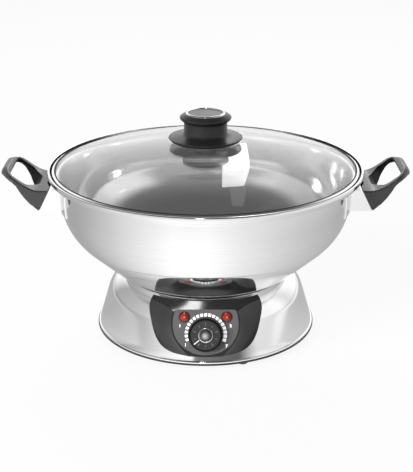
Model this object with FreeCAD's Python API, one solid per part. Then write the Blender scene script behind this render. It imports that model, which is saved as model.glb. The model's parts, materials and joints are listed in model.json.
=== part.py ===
import FreeCAD, Part
import math
import os

# Electric hot pot: a polished steel bowl with a glass lid, carried on a bell-shaped heating base.
# Millimetres, +Z up, the floor at z = 0, the bowl's axis on Z, the control panel facing -Y.

os.makedirs("parts", exist_ok=True)

Vector = FreeCAD.Vector
ORIGIN = Vector(0, 0, 0)
UP = Vector(0, 0, 1)
REACH = 400.0            # longer than anything here, for cutting tools that pass right through

# ---------------------------------------------------------------- fits and gauges
rest_gap = 0.3           # between the lid and the seat it lifts off
seat_gap = 0.05          # between two pieces of one assembly that bear on each other
hole_play = 0.15         # radial play of a screw or stud in its hole
running_gap = 0.05       # radial play of the turning shaft in its bush
pot_gauge = 0.8          # steel of the bowl
shell_gauge = 0.8        # steel of the base shell
bracket_gauge = 1.2      # steel of brackets and lugs
ring_gauge = 0.5         # steel of the ring round the lid glass

# ---------------------------------------------------------------- base
foot_height = 6.3
foot_radius = 6.5
foot_inset = 11.4        # of the circle of feet, inside the shell's foot
foot_angle = 21.3        # of the first foot, from the front towards +X
foot_count = 4
foot_recess = 2.6        # depth of the screw's recess in each foot
foot_screw_grip = 6.0    # of a foot's screw above the cover
lip_overhang = 1.5       # of the rolled lip, beyond the shell's foot
lip_height = 2.9
shell_foot_radius = 111.9
shoulder_radius = 98.2   # where the shell's side and shoulder would meet unrounded
shoulder_height = 56.8
shoulder_bend = 34.0
ridge_radius = 84.3      # circle where the shoulder turns in under the bowl
ridge_height = 64.4
collar_radius = 70.0     # inner edge of the collar that the bowl stands on
collar_fall = 2.2
trim_gauge = 1.4
cover_gauge = 2.0
lug_count = 3
lug_angle = 70.0         # of the first lug, from +X; they clear the feet, the panel and the inlet
lug_screw_grip = 6.0     # of a cover screw above its lug's seat
lug_width = 14.0
lug_height = 13.0
lug_inset = 14.9         # of the cover's screws, inside the shell's foot

# ---------------------------------------------------------------- bowl and rim
bowl_radius = 148.0
bowl_bottom = 63.0
cone_top = 119.4         # where the bowl's wall and cone would meet unrounded
cone_foot = 85.4         # radius where the cone and bottom would meet unrounded
wall_bend = 63.5
bottom_bend = 42.8
rim_radius = 160.0
rim_height = 176.0
rim_drop = 4.8           # height of the rolled rim's outer face
seat_radius = 157.3      # inner face of the rim, round the lid
rim_curl = 1.4           # width of the rolled rim's lower edge

# ---------------------------------------------------------------- lid
glass_gauge = 4.0
dome_radius = 480.0      # of the glass's outer face
dome_apex = 200.5
lid_play = 1.6           # between the lid's ring and the bowl's rim
ring_width = 3.7
glass_hole_radius = 4.5
glass_edge_gap = 0.6      # between the glass's edge and the wall of its ring

# ---------------------------------------------------------------- lid knob
knob_flange_radius = 37.8
knob_flange_top = 206.2
knob_flange_gauge = 1.5
knob_foot_height = 209.8
knob_neck_radius = 21.9
knob_neck_top = 223.0
knob_cap_radius = 26.3
knob_cap_height = 227.1
knob_ring_radius = 20.1
knob_ring_width = 2.4
knob_top = 231.6
inlay_sink = 0.7
knob_screw_radius = 2.5
knob_screw_depth = 14.0
gasket_radius = 10.0
gasket_gauge = 1.0
washer_radius = 11.0
escutcheon_gauge = 0.7

# ---------------------------------------------------------------- handles
handle_half_width = 34.5        # at the slanted face
handle_bow_half_width = 38.0    # where the sides and the rounded tip would meet unrounded
handle_bow_radius = 193.5
handle_tip_half_width = 18.0
handle_tip_radius = 205.0       # distance of the handle's tip from the bowl's axis, at its top level
handle_top_level = 176.0
handle_lean = 32.0              # of the tip's and finger hole's walls, out from the vertical
face_top = (155.8, 160.5)       # slanted face against the bracket, (distance from the axis, height)
face_foot = (167.1, 137.8)
grip_inner = 158.8              # finger hole, at the top level
grip_bar = 11.1                 # of the bar that the fingers hold
grip_half_width = 28.7
grip_bow_half_width = 12.5      # of its side towards the bowl, which bows round the handle's screws
grip_bow_radius = 172.5
grip_corner = 6.5
# the handle seen from its side, from its face to its tip: (share of the way, rise above the face's end)
top_sweep = ((0.47, 4.3), (0.66, 11.1), (0.86, 17.9), (1.14, 21.6))
under_sweep = ((1.14, 33.2), (0.92, 33.2), (0.71, 29.2), (0.59, 20.4), (0.44, 10.4))
handle_edge = 1.2               # rounding of the handle's moulded edges
scoop_radius = 48.0             # hollow of the handle's inner edge beside the rim
scoop_reach = 161.0
bracket_half_width = 32.5
bracket_wrap = 56.0             # half the width over the two welded flanges
handle_screw_offset = 23.8
handle_screw_radius = 2.0
handle_screw_depth = 11.0

# ---------------------------------------------------------------- control panel
panel_tilt = 17.0        # degrees that the panel leans back
panel_proud = 3.08       # the dial's centre stands this much outside the shell
dial_centre_z = 37.0
panel_front = 0.4        # the housing stands this much in front of the face plate
panel_wall = 2.2
plate_gauge = 1.0
pocket_inset = 1.1       # of the hollow behind the face plate, inside the plate's outline
plate_corner = 3.0
dial_radius = 16.7
dial_face_radius = 14.8
dial_depth = 7.5
dial_lift = 0.5
dial_ring_radius = 7.1
dial_nub_radius = 5.4
dial_ring_rise = 0.6
shaft_radius = 3.0
lens_radius = 4.8
lens_side = 20.6         # the two lamps, either side of the dial and above it
lens_height = 16.9
lens_rise = 1.4
boss_side = 24.0         # bosses that carry the thermostat's bracket
boss_height = -3.0
boss_radius = 3.8
bracket_depth = 19.0     # of the thermostat's bracket behind the face plate
thermostat_radius = 12.5
thermostat_length = 12.0
thermostat_tab = 9.0
bush_nut_width = 13.0    # across its flats
lamp_length = 10.0
lamp_pin_length = 5.0
bracket_screw_grip = 9.0 # of a bracket screw, into its boss
strap_half_height = 9.0  # of the thermostat's bracket
strap_side = 31.5        # half width of its flat middle
strap_end_side = 47.0    # half width over its ends, which bear on the shell from inside
bush_radius = 4.6
bush_length = 8.0
small_screw_radius = 1.5

# ---------------------------------------------------------------- heater
plate_radius = 62.0
plate_thickness = 5.0
element_circle = 45.0
element_radius = 3.25
element_gap_angle = 34.0
element_leg = 12.0
terminal_pin = 9.0       # of a cold pin below the element's leg
tab_width = 6.3          # of the flat tab on the pin
tab_length = 8.5
fuse_row = 14.0          # distance of the cut-out from the middle of the plate
fuse_radius = 2.2
fuse_length = 13.0
fuse_lead = 9.0
clip_reach = 10.0        # half length of the spring strap over the cut-out
stud_circle = 74.0
stud_radius = 2.5
stud_length = 13.0
stud_count = 3

# ---------------------------------------------------------------- power inlet
inlet_height = 34.0
inlet_proud = 4.21       # its flat face stands this much outside the shell
inlet_flange = (50.0, 24.0)
inlet_body = (30.0, 20.0)
inlet_socket = (24.4, 16.6)
inlet_depth = 17.0
inlet_back = 4.0
pin_size = (2.0, 4.0)
pin_length = 12.0
pin_pitch = 7.0

# ---------------------------------------------------------------- terminal block
terminal_row = 46.0      # distance of its screws from the axis, towards the inlet
terminal_pitch = 10.0
terminal_width = 16.0
terminal_height = 14.0
terminal_hole_radius = 2.0


# ================================================================ helpers
def path_edges(corners):
    """Straight runs joined by tangent bends, in the XZ plane.
    A corner is (distance from the axis, height, bend radius)."""
    points = [Vector(r, 0, z) for r, z, bend in corners]
    edges = []
    start = points[0]
    for before, here, after, corner in zip(points, points[1:], points[2:], corners[1:]):
        bend = corner[2]
        incoming = (here - before).normalize()
        outgoing = (after - here).normalize()
        half_turn = incoming.getAngle(outgoing) / 2
        setback = bend * math.tan(half_turn)
        bend_start = here - incoming * setback
        bend_end = here + outgoing * setback
        edges.append(Part.makeLine(start, bend_start))
        if bend > 0:
            inward = (outgoing - incoming).normalize()
            middle = here + inward * (bend / math.cos(half_turn) - bend)
            edges.append(Part.Arc(bend_start, middle, bend_end).toShape())
        start = bend_end
    edges.append(Part.makeLine(start, points[-1]))
    return edges


def offset_corners(corners, distance):
    """The same path moved sideways by distance, to the left of its run."""
    runs = []
    for (r0, z0, bend0), (r1, z1, bend1) in zip(corners, corners[1:]):
        length = math.hypot(r1 - r0, z1 - z0)
        runs.append(((r1 - r0) / length, (z1 - z0) / length))
    runs = [runs[0]] + runs + [runs[-1]]
    moved = []
    for (r, z, bend), (ar, az), (br, bz) in zip(corners, runs, runs[1:]):
        share = distance / (1 + ar * br + az * bz)
        turn = ar * bz - az * br
        new_bend = 0
        if bend > 0:
            new_bend = bend - distance * math.copysign(1, turn)
        moved.append((r - (az + bz) * share, z + (ar + br) * share, new_bend))
    return moved


def closed_face(edges):
    return Part.Face(Part.Wire(Part.__sortEdges__(edges)))


def outline_face(corners):
    """Face inside a closed outline of corners, in the XZ plane."""
    (r0, z0, bend0), (r1, z1, bend1) = corners[0], corners[-1]
    middle = ((r0 + r1) / 2, (z0 + z1) / 2, 0)
    return closed_face(path_edges([middle] + list(corners) + [middle]))


def plan_face(corners):
    """Face inside a closed outline of (x, y, bend radius) corners, in the XY plane."""
    face = outline_face(corners)
    face.rotate(ORIGIN, Vector(1, 0, 0), -90)
    return face


def strip_face(corners, gauge):
    """Section of a sheet that lies to the left of its path."""
    inner = offset_corners(corners, gauge)
    caps = []
    for end in (0, -1):
        outer_end = Vector(corners[end][0], 0, corners[end][1])
        inner_end = Vector(inner[end][0], 0, inner[end][1])
        caps.append(Part.makeLine(outer_end, inner_end))
    return closed_face(path_edges(corners) + path_edges(inner) + caps)


def turned(face):
    """Solid made by turning a section right round the Z axis."""
    return face.revolve(ORIGIN, UP, 360)


def turned_outline(corners):
    return turned(outline_face(corners))


def box(x0, x1, y0, y1, z0, z1):
    return Part.makeBox(x1 - x0, y1 - y0, z1 - z0, Vector(x0, y0, z0))


def centred_box(width, depth, z0, z1):
    return box(-width / 2, width / 2, -depth / 2, depth / 2, z0, z1)


def rod(radius, z0, z1, x=0.0, y=0.0):
    return Part.makeCylinder(radius, z1 - z0, Vector(x, y, z0))


def tube(outer, inner, z0, z1):
    return rod(outer, z0, z1).cut(rod(inner, z0, z1))


def hexagon(across_flats, z0, z1):
    corner_radius = across_flats / math.sqrt(3)
    corners = []
    for step in range(6):
        angle = math.radians(60 * step)
        corners.append((corner_radius * math.cos(angle), corner_radius * math.sin(angle), 0))
    prism = plan_face(corners).extrude(Vector(0, 0, z1 - z0))
    prism.translate(Vector(0, 0, z0))
    return prism


def pan_head_screw(radius, shank_top, seat, head_radius, head_height):
    """Screw on the Z axis, its head below the seat and its shank reaching up."""
    head = Part.makeCylinder(head_radius, head_height, Vector(0, 0, seat - head_height))
    head = head.makeFillet(head_height * 0.45, [head.Edges[2]])
    slot_floor = seat - head_height * 0.55
    slot = centred_box(0.36 * head_radius, head_radius * 1.2, seat - head_height, slot_floor)
    cross = slot.copy()
    cross.rotate(ORIGIN, UP, 90)
    return head.cut(slot.fuse(cross)).fuse(rod(radius, seat, shank_top))


def around(shape, angle):
    """Copy of a shape turned about the Z axis by an angle in degrees."""
    copy = shape.copy()
    copy.rotate(ORIGIN, UP, angle)
    return copy


def ring_of(shape, circle, angles):
    """Copies of a shape set on a circle, each facing away from the axis."""
    copies = []
    for angle in angles:
        copy = shape.copy()
        copy.translate(Vector(circle, 0, 0))
        copies.append(around(copy, angle))
    return copies


def mirrored(shape):
    return shape.mirror(ORIGIN, Vector(1, 0, 0))


def save(shape, name):
    shape.exportStep("parts/" + name + ".step")


# ================================================================ shared profiles
shell_bottom = foot_height + 0.2
lip_radius = shell_foot_radius + lip_overhang
foot_circle = shell_foot_radius - foot_inset
lug_circle = shell_foot_radius - lug_inset
shell_path = [
    (lip_radius, shell_bottom, 0),
    (lip_radius, shell_bottom + lip_height, 1.1),
    (shell_foot_radius, shell_bottom + lip_height + 0.5, 0.3),
    (shoulder_radius, shoulder_height, shoulder_bend),
    (ridge_radius, ridge_height, 0.9),
    (collar_radius, ridge_height - collar_fall, 0),
]
shell_slope = (shell_foot_radius - shoulder_radius) / (shoulder_height - shell_bottom - lip_height)


def shell_side(height):
    """Distance from the axis of the base shell's straight side."""
    return shell_foot_radius - (height - shell_bottom - lip_height) * shell_slope


dial_centre_y = -(shell_side(dial_centre_z) + panel_proud)
inlet_face = shell_side(inlet_height) + inlet_proud

ring_radius = seat_radius - lid_play
ring_inner_radius = ring_radius - ring_width

ring_outer_top = dome_apex - dome_radius + math.sqrt(dome_radius ** 2 - ring_radius ** 2)
inner_dome_radius = dome_radius - glass_gauge
ring_skin = ring_gauge + 2 * seat_gap


def glass_outside(radius):
    return dome_apex - dome_radius + math.sqrt(dome_radius ** 2 - radius ** 2)


def glass_inside(radius):
    return dome_apex - dome_radius + math.sqrt(inner_dome_radius ** 2 - radius ** 2)


ring_bottom = glass_inside(ring_radius) - ring_skin
lid_seat = ring_bottom - rest_gap

bowl_wall_path = [
    (0, bowl_bottom, 0),
    (cone_foot, bowl_bottom, bottom_bend),
    (bowl_radius, cone_top, wall_bend),
]
bowl_path = bowl_wall_path + [
    (bowl_radius, lid_seat - pot_gauge, 1.2),
    (seat_radius + pot_gauge, lid_seat - pot_gauge, 1.4),
    (seat_radius + pot_gauge, rim_height - pot_gauge, 0.5),
    (rim_radius - pot_gauge, rim_height - pot_gauge, 0.5),
    (rim_radius - pot_gauge, rim_height - rim_drop + pot_gauge, 0.4),
    (rim_radius - rim_curl, rim_height - rim_drop + pot_gauge, 0),
]


def bowl_underside(radius):
    """Height of the bowl's rounded underside, between its flat bottom and its cone."""
    cone_angle = math.atan2(cone_top - bowl_bottom, bowl_radius - cone_foot)
    flat_radius = cone_foot - bottom_bend * math.tan(cone_angle / 2)
    if radius <= flat_radius:
        return bowl_bottom
    return bowl_bottom + bottom_bend - math.sqrt(bottom_bend ** 2 - (radius - flat_radius) ** 2)


def bowl_envelope(gap):
    """Everything inside the bowl's outer face, grown by a gap."""
    wall = offset_corners(bowl_wall_path + [(bowl_radius, rim_height, 0)], -gap)
    edges = path_edges(wall)
    axis_top = Vector(0, 0, wall[-1][1])
    edges.append(Part.makeLine(Vector(wall[-1][0], 0, wall[-1][1]), axis_top))
    edges.append(Part.makeLine(axis_top, Vector(0, 0, wall[0][1])))
    return turned(closed_face(edges))


def shell_envelope(gap):
    """Everything inside the base shell's outer face, grown by a gap."""
    side = offset_corners(shell_path[1:], -gap)
    edges = path_edges(side)
    foot = Vector(side[0][0], 0, side[0][1])
    top = Vector(side[-1][0], 0, side[-1][1])
    edges.append(Part.makeLine(Vector(0, 0, foot.z), foot))
    edges.append(Part.makeLine(top, Vector(0, 0, top.z)))
    edges.append(Part.makeLine(Vector(0, 0, top.z), Vector(0, 0, foot.z)))
    return turned(closed_face(edges))


# ================================================================ control panel frame
tilt = math.radians(panel_tilt)
panel_place = FreeCAD.Placement(
    Vector(0, dial_centre_y, dial_centre_z),
    FreeCAD.Rotation(Vector(1, 0, 0), 90 - panel_tilt))


def on_panel(shape):
    """Places a shape drawn with the face plate in XY and the dial's axis on Z."""
    placed = shape.copy()
    placed.Placement = panel_place.multiply(placed.Placement)
    return placed


def shell_depth(side):
    """Depth of the shell behind the face plate, at a distance to the side of the dial's axis."""
    radius = shell_side(dial_centre_z)
    fall = panel_proud + radius - math.sqrt(radius ** 2 - side ** 2)
    return fall * math.cos(tilt)


def spline_outline(top_corner, side_points, bottom):
    """Shield outline: a straight top edge and one smooth curve down the sides."""
    left = [Vector(-x, y, 0) for x, y in [top_corner] + side_points]
    right = [Vector(x, y, 0) for x, y in reversed([top_corner] + side_points)]
    curve = Part.BSplineCurve()
    curve.interpolate(left + [Vector(0, bottom, 0)] + right)
    return [curve.toShape(), Part.makeLine(left[0], right[-1])]


plate_top = (29.4, 24.1)
plate_sides = [(32.4, 10.6), (30.2, -1.7), (23.4, -11.9)]
plate_bottom = -20.9
housing_top = (50.0, 37.5)
housing_sides = [(55.5, 27.0), (54.0, 13.0), (49.0, -4.0), (42.0, -13.7), (33.5, -18.7), (17.0, -21.6)]
housing_bottom = -22.4
# height on the panel, half width of its flat front, half width and depth where it meets the shell
housing_ramps = [
    (-26.0, 12.0, 36.0, 7.5),
    (-12.0, 25.4, 45.0, 10.0),
    (0.0, 32.0, 52.0, 13.5),
    (12.0, 33.6, 56.5, 17.2),
    (26.0, 30.8, 58.5, 21.8),
    (42.0, 26.0, 55.0, 29.0),
]
ramp_hollow = 2.4        # how far the ramps beside the face plate are dished
shelf_outer = (112.0, 58.6)
shelf_hollow = 1.6       # how far the shelf above the face plate is dished


def plate_prism(grow, z0, z1):
    """The face plate's outline with rounded top corners, grown, between two heights."""
    top = (plate_top[0] + grow, plate_top[1] + grow)
    sides = [(x + grow, y) for x, y in plate_sides]
    prism = closed_face(spline_outline(top, sides, plate_bottom - grow)).extrude(Vector(0, 0, z1 - z0))
    corners = []
    for edge in prism.Edges:
        upright = edge.BoundBox.ZLength > (z1 - z0) / 2
        at_corner = abs(edge.CenterOfMass.y - top[1]) < 0.1
        if upright and at_corner:
            corners.append(edge)
    prism = prism.makeFillet(plate_corner + grow, corners)
    prism.translate(Vector(0, 0, z0))
    return prism


def window_prism(inset, z0, z1):
    """A simpler outline that stays inside the face plate's by an inset."""
    top = plate_top[1] - inset
    side = plate_top[0] - inset
    waist = plate_sides[1][1]
    low = plate_bottom + inset + 0.5
    foot = plate_sides[2][0] - inset * 3
    corners = [
        (side, waist, 7.0), (side, top, 4.0), (-side, top, 4.0),
        (-side, waist, 7.0), (-foot, low, 5.0), (foot, low, 5.0)]
    prism = plan_face(corners).extrude(Vector(0, 0, z1 - z0))
    prism.translate(Vector(0, 0, z0))
    return prism


def ramp_section(height, front, side, depth):
    """Section across the housing: flat front, dished ramps, and a back inside the base."""
    points = [Vector(-side, height, -depth), Vector(-front, height, panel_front)]
    chord = points[1] - points[0]
    inward = Vector(chord.z, 0, -chord.x).normalize()
    middle = (points[0] + points[1]) * 0.5 + inward * ramp_hollow
    left = Part.Arc(points[0], middle, points[1]).toShape()
    right = Part.Arc(
        Vector(front, height, panel_front),
        Vector(-middle.x, middle.y, middle.z),
        Vector(side, height, -depth)).toShape()
    back = dial_centre_y / 2
    corners = [Vector(side, height, -depth), Vector(side, height, back)]
    corners += [Vector(-side, height, back), Vector(-side, height, -depth)]
    edges = [left, Part.makeLine(points[1], Vector(front, height, panel_front)), right]
    edges += [Part.makeLine(a, b) for a, b in zip(corners, corners[1:])]
    return Part.Wire(Part.__sortEdges__(edges))


def panel_shelf():
    """Space above the dished shelf that runs from the face plate up to the base's ridge."""
    ridge = Vector(ridge_radius - 1.0, 0, ridge_height + 0.1)
    outer = Vector(shelf_outer[0], 0, shelf_outer[1])
    middle = (ridge + outer) * 0.5 - Vector(0, 0, shelf_hollow)
    high_outer = Vector(outer.x, 0, bowl_radius)
    high_inner = Vector(ridge.x, 0, bowl_radius)
    edges = [Part.Arc(ridge, middle, outer).toShape(), Part.makeLine(outer, high_outer)]
    edges += [Part.makeLine(high_outer, high_inner), Part.makeLine(high_inner, ridge)]
    return turned(closed_face(edges))


def panel_housing():
    ramps = Part.makeLoft([ramp_section(*section) for section in housing_ramps], True, False)
    trim = closed_face(spline_outline(housing_top, housing_sides, housing_bottom))
    trim = trim.extrude(Vector(0, 0, REACH))
    trim.translate(Vector(0, 0, panel_front - REACH + 1))
    body = ramps.common(trim)
    wall_back = -plate_gauge - panel_wall
    body = body.cut(plate_prism(seat_gap * 3, -plate_gauge - seat_gap, panel_front + 1))
    body = body.cut(window_prism(pocket_inset, -REACH, wall_back))
    for side in (-1, 1):
        boss = rod(boss_radius, -bracket_depth + seat_gap, wall_back, side * boss_side, boss_height)
        body = body.fuse(boss)
        pilot = rod(small_screw_radius + seat_gap, -REACH, wall_back - 1, side * boss_side, boss_height)
        body = body.cut(pilot)
        body = body.cut(rod(lens_radius + hole_play, -REACH, REACH, side * lens_side, lens_height))
    body = body.cut(rod(shaft_radius + 0.6, -REACH, REACH))
    placed = on_panel(body).cut(panel_shelf()).cut(bowl_envelope(rest_gap))
    shell_wall = shell_envelope(seat_gap).cut(on_panel(shell_window(seat_gap)))
    placed = placed.cut(shell_wall)
    return max(placed.Solids, key=lambda solid: solid.Volume)


def shell_window(extra):
    """Window through the base shell behind the control panel."""
    return window_prism(2 * pocket_inset + extra, -bracket_depth - 4, panel_front)


def panel_plate():
    plate = plate_prism(0, -plate_gauge, 0)
    for side in (-1, 1):
        plate = plate.cut(rod(lens_radius + hole_play, -REACH, REACH, side * lens_side, lens_height))
    return on_panel(plate.cut(rod(shaft_radius + 0.6, -REACH, REACH)))


def indicator_lens():
    """Domed lens on the Z axis, its flange against the back of the panel's wall."""
    dome_radius_here = (lens_radius ** 2 + lens_rise ** 2) / (2 * lens_rise)
    dome = Part.makeSphere(dome_radius_here, Vector(0, 0, lens_rise + 0.6 - dome_radius_here))
    back = -plate_gauge - panel_wall
    barrel = rod(lens_radius, back - 1.2, lens_rise + 0.6)
    barrel = barrel.common(dome.fuse(rod(lens_radius, back - 1.2, 0.6)))
    return barrel.fuse(rod(lens_radius + 1.0, back - 1.2, back - seat_gap))


def lens_at(side):
    lens = indicator_lens()
    lens.translate(Vector(side * lens_side, lens_height, 0))
    return on_panel(lens)


def indicator_lamps():
    """A neon lamp in its sleeve behind each lens."""
    front = -plate_gauge - panel_wall - 1.2 - seat_gap
    lead_end = front - lamp_length - lamp_pin_length
    lamps = []
    for side in (-1, 1):
        sleeve = rod(lens_radius - 0.4, front - lamp_length, front, side * lens_side, lens_height)
        for pin in (-1.5, 1.5):
            lead = rod(0.5, lead_end, front - lamp_length, side * lens_side + pin, lens_height)
            sleeve = sleeve.fuse(lead)
        lamps.append(on_panel(sleeve))
    return Part.makeCompound(lamps)


# ================================================================ dial and thermostat
def dial_knob():
    back = dial_lift
    front = dial_lift + dial_depth
    bevel = dial_radius - dial_face_radius
    section = [
        (0, back, 0),
        (dial_radius, back, 0.5),
        (dial_radius, front - bevel, 1.0),
        (dial_face_radius, front, 0.8),
        (dial_ring_radius + 1.2, front - 0.5, 0),
        (dial_ring_radius + seat_gap, front - 0.5, 0),
        (dial_ring_radius + seat_gap, front - 1.5, 0),
        (0, front - 1.5, 0),
    ]
    dial = turned_outline(section)
    return on_panel(dial.cut(rod(shaft_radius + seat_gap, back, back + dial_depth - 3)))


def dial_ring():
    seat = dial_lift + dial_depth - 1.5 + seat_gap
    top = dial_lift + dial_depth + dial_ring_rise
    section = [
        (dial_nub_radius + seat_gap, seat, 0),
        (dial_ring_radius, seat, 0),
        (dial_ring_radius, top, 0.5),
        (dial_nub_radius + seat_gap, top - 0.2, 0),
    ]
    return on_panel(turned_outline(section))


def dial_nub():
    seat = dial_lift + dial_depth - 1.5 + seat_gap
    dome = Part.makeSphere(dial_nub_radius * 1.1, Vector(0, 0, seat + 0.6))
    return on_panel(dome.common(rod(dial_nub_radius, seat, REACH)))


def thermostat_shaft():
    tip = dial_lift + dial_depth - 3 - seat_gap
    tail = -bracket_depth - bracket_gauge - thermostat_length + 4
    shaft = rod(shaft_radius, tail, tip)
    flat = box(shaft_radius * 0.55, REACH, -REACH, REACH, dial_lift + 1, REACH)
    return on_panel(shaft.cut(flat))


def thermostat_body():
    """Round case behind its bracket, with the threaded bush that comes through it."""
    front = -bracket_depth - bracket_gauge - seat_gap
    case = rod(thermostat_radius, front - thermostat_length, front)
    case = case.makeFillet(1.2, [case.Edges[2]])
    bush = rod(bush_radius, front - 1, front + bush_length)
    tail = front - thermostat_length
    tabs = []
    for x in (-6.0, 6.0):
        tabs.append(box(x - 0.4, x + 0.4, -3.2, 3.2, tail - thermostat_tab, tail + 1))
    bore = rod(shaft_radius + running_gap, tail + 3.5, REACH)
    body = case.fuse(bush).fuse(tabs[0]).fuse(tabs[1]).cut(bore)
    return on_panel(body)


def thermostat_nut():
    seat = -bracket_depth + seat_gap
    nut = hexagon(bush_nut_width, seat, seat + 2.6).cut(rod(bush_radius + seat_gap, seat, seat + 2.6))
    return on_panel(nut)


def thermostat_bracket():
    """Bent strap on the bosses of the housing; its ends bear on the shell from inside."""
    end_depth = shell_depth(strap_end_side)
    path = [
        (-strap_end_side, -end_depth, 0), (-strap_side, -bracket_depth, 1.6),
        (strap_side, -bracket_depth, 1.6), (strap_end_side, -end_depth, 0)]
    strap = strip_face(path, -bracket_gauge)
    strap.translate(Vector(0, -strap_half_height, 0))
    strap = strap.extrude(Vector(0, 2 * strap_half_height, 0))
    strap = strap.cut(rod(bush_radius + hole_play, -REACH, REACH))
    for side in (-1, 1):
        strap = strap.cut(rod(small_screw_radius + hole_play, -REACH, REACH, side * boss_side, boss_height))
    return on_panel(strap).common(shell_envelope(-shell_gauge - seat_gap))


def bracket_screws():
    screws = []
    for side in (-1, 1):
        seat = -bracket_depth - bracket_gauge - seat_gap
        screw = pan_head_screw(small_screw_radius, seat + bracket_screw_grip, seat, 3.0, 2.0)
        screw.translate(Vector(side * boss_side, boss_height, 0))
        screws.append(on_panel(screw))
    return Part.makeCompound(screws)


# ================================================================ base
foot_angles = [foot_angle - 90 + 360.0 / foot_count * step for step in range(foot_count)]
lug_angles = [lug_angle + 360.0 / lug_count * step for step in range(lug_count)]
stud_angles = [90 + 360.0 / stud_count * step for step in range(stud_count)]
cover_bottom = foot_height + seat_gap
cover_top = cover_bottom + cover_gauge
cover_radius = shell_foot_radius - 2.7
lug_seat = cover_top + 4.0
flange_inner = cover_radius - 1.6


def base_shell():
    shell = turned(strip_face(shell_path, shell_gauge))
    shell = shell.cut(on_panel(shell_window(0)))
    shell = shell.cut(inlet_body_block(hole_play))
    for stud in ring_of(rod(stud_radius + hole_play, 0, REACH), stud_circle, stud_angles):
        shell = shell.cut(stud)
    return shell


def base_trim_ring():
    """Black ring that the shell's lip stands on, with an upstand inside the shell."""
    top = shell_bottom - seat_gap
    section = [
        (flange_inner, top - trim_gauge, 0),
        (lip_radius - 0.5, top - trim_gauge, 0.6),
        (lip_radius - 0.5, top, 0.3),
        (cover_radius + 1.3, top, 0),
        (cover_radius + 1.3, top + 4.5, 0.4),
        (cover_radius + 0.2, top + 4.5, 0),
        (cover_radius + 0.2, cover_bottom - seat_gap, 0),
        (flange_inner, cover_bottom - seat_gap, 0),
    ]
    return turned_outline(section)


def bottom_cover():
    """Moulded floor of the base: raised edge, screw bosses, and slots that let air in."""
    section = [
        (0, cover_bottom, 0),
        (cover_radius, cover_bottom, 0.5),
        (cover_radius, cover_top + 3.0, 0.4),
        (cover_radius - 1.6, cover_top + 3.0, 0),
        (cover_radius - 1.6, cover_top, 0),
        (0, cover_top, 0),
    ]
    cover = turned_outline(section)
    for boss in ring_of(rod(foot_radius * 0.75, cover_top - 0.5, cover_top + 5), foot_circle, foot_angles):
        cover = cover.fuse(boss)
    for boss in ring_of(rod(5.0, cover_top - 0.5, lug_seat - seat_gap), lug_circle, lug_angles):
        cover = cover.fuse(boss)
    for hole in ring_of(rod(small_screw_radius + hole_play, 0, REACH), foot_circle, foot_angles):
        cover = cover.cut(hole)
    for hole in ring_of(rod(small_screw_radius + hole_play, 0, REACH), lug_circle, lug_angles):
        cover = cover.cut(hole)
    slot = centred_box(26.0, 3.0, 0, REACH)
    for row in (-14.0, -7.0, 0.0, 7.0, 14.0):
        copy = slot.copy()
        copy.translate(Vector(0, row, 0))
        cover = cover.cut(copy)
    return cover


def rubber_feet():
    section = [
        (0, 0, 0),
        (foot_radius - 1.2, 0, 1.0),
        (foot_radius, 1.8, 0.8),
        (foot_radius, foot_height, 0),
        (0, foot_height, 0),
    ]
    foot = turned_outline(section)
    foot = foot.cut(rod(small_screw_radius + hole_play, 0, foot_height)).cut(rod(3.2, 0, foot_recess))
    return Part.makeCompound(ring_of(foot, foot_circle, foot_angles))


def foot_screws():
    screw = pan_head_screw(small_screw_radius, cover_top + foot_screw_grip, foot_recess - seat_gap, 2.9, 1.7)
    return Part.makeCompound(ring_of(screw, foot_circle, foot_angles))


def base_lugs():
    """L-shaped lugs spot-welded inside the shell, which take the cover's screws."""
    shell_inside = offset_corners(shell_path[2:5], shell_gauge + seat_gap)
    leaf = turned(strip_face(shell_inside, bracket_gauge))
    tool = box(lug_circle, REACH, -lug_width / 2, lug_width / 2, lug_seat, lug_seat + lug_height)
    tab = box(lug_circle - 6, lip_radius, -lug_width / 2, lug_width / 2, lug_seat, lug_seat + bracket_gauge)
    tab = tab.common(shell_envelope(-shell_gauge - seat_gap))
    lug = leaf.common(tool).fuse(tab)
    lug = lug.cut(rod(small_screw_radius + seat_gap, 0, REACH, lug_circle))
    return Part.makeCompound([around(lug, angle) for angle in lug_angles])


def cover_screws():
    screw = pan_head_screw(small_screw_radius, lug_seat + lug_screw_grip, cover_bottom - seat_gap, 3.2, 2.0)
    return Part.makeCompound(ring_of(screw, lug_circle, lug_angles))


# ================================================================ bowl, studs and heater
def pot_bowl():
    return turned(strip_face(bowl_path, pot_gauge))


def bowl_studs():
    """Weld studs under the bowl that hold it down on the shell's collar."""
    top = bowl_underside(stud_circle + stud_radius) + 1
    stud = rod(stud_radius, top - stud_length - 1, top)
    studs = []
    for copy in ring_of(stud, stud_circle, stud_angles):
        studs.append(copy.cut(bowl_envelope(seat_gap)))
    return Part.makeCompound(studs)


def stud_nuts():
    """Flanged nuts, their washer faces pulled up against the collar."""
    collar_slope = collar_fall / (ridge_radius - collar_radius)
    seat = ridge_height - collar_fall + (stud_circle - 6.5 - collar_radius) * collar_slope - shell_gauge * 1.1
    nut = hexagon(8.0, seat - 5, seat - 1).fuse(rod(5.4, seat - 1.2, seat - 0.2))
    nut = nut.cut(rod(stud_radius + seat_gap, 0, REACH))
    return Part.makeCompound(ring_of(nut, stud_circle, stud_angles))


def heat_plate():
    top = bowl_bottom - seat_gap
    section = [
        (0, top - plate_thickness, 0),
        (plate_radius, top - plate_thickness, 1.5),
        (plate_radius, top, 0.5),
        (0, top, 0),
    ]
    return turned_outline(section)


element_level = bowl_bottom - plate_thickness - element_radius - 2 * seat_gap


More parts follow.
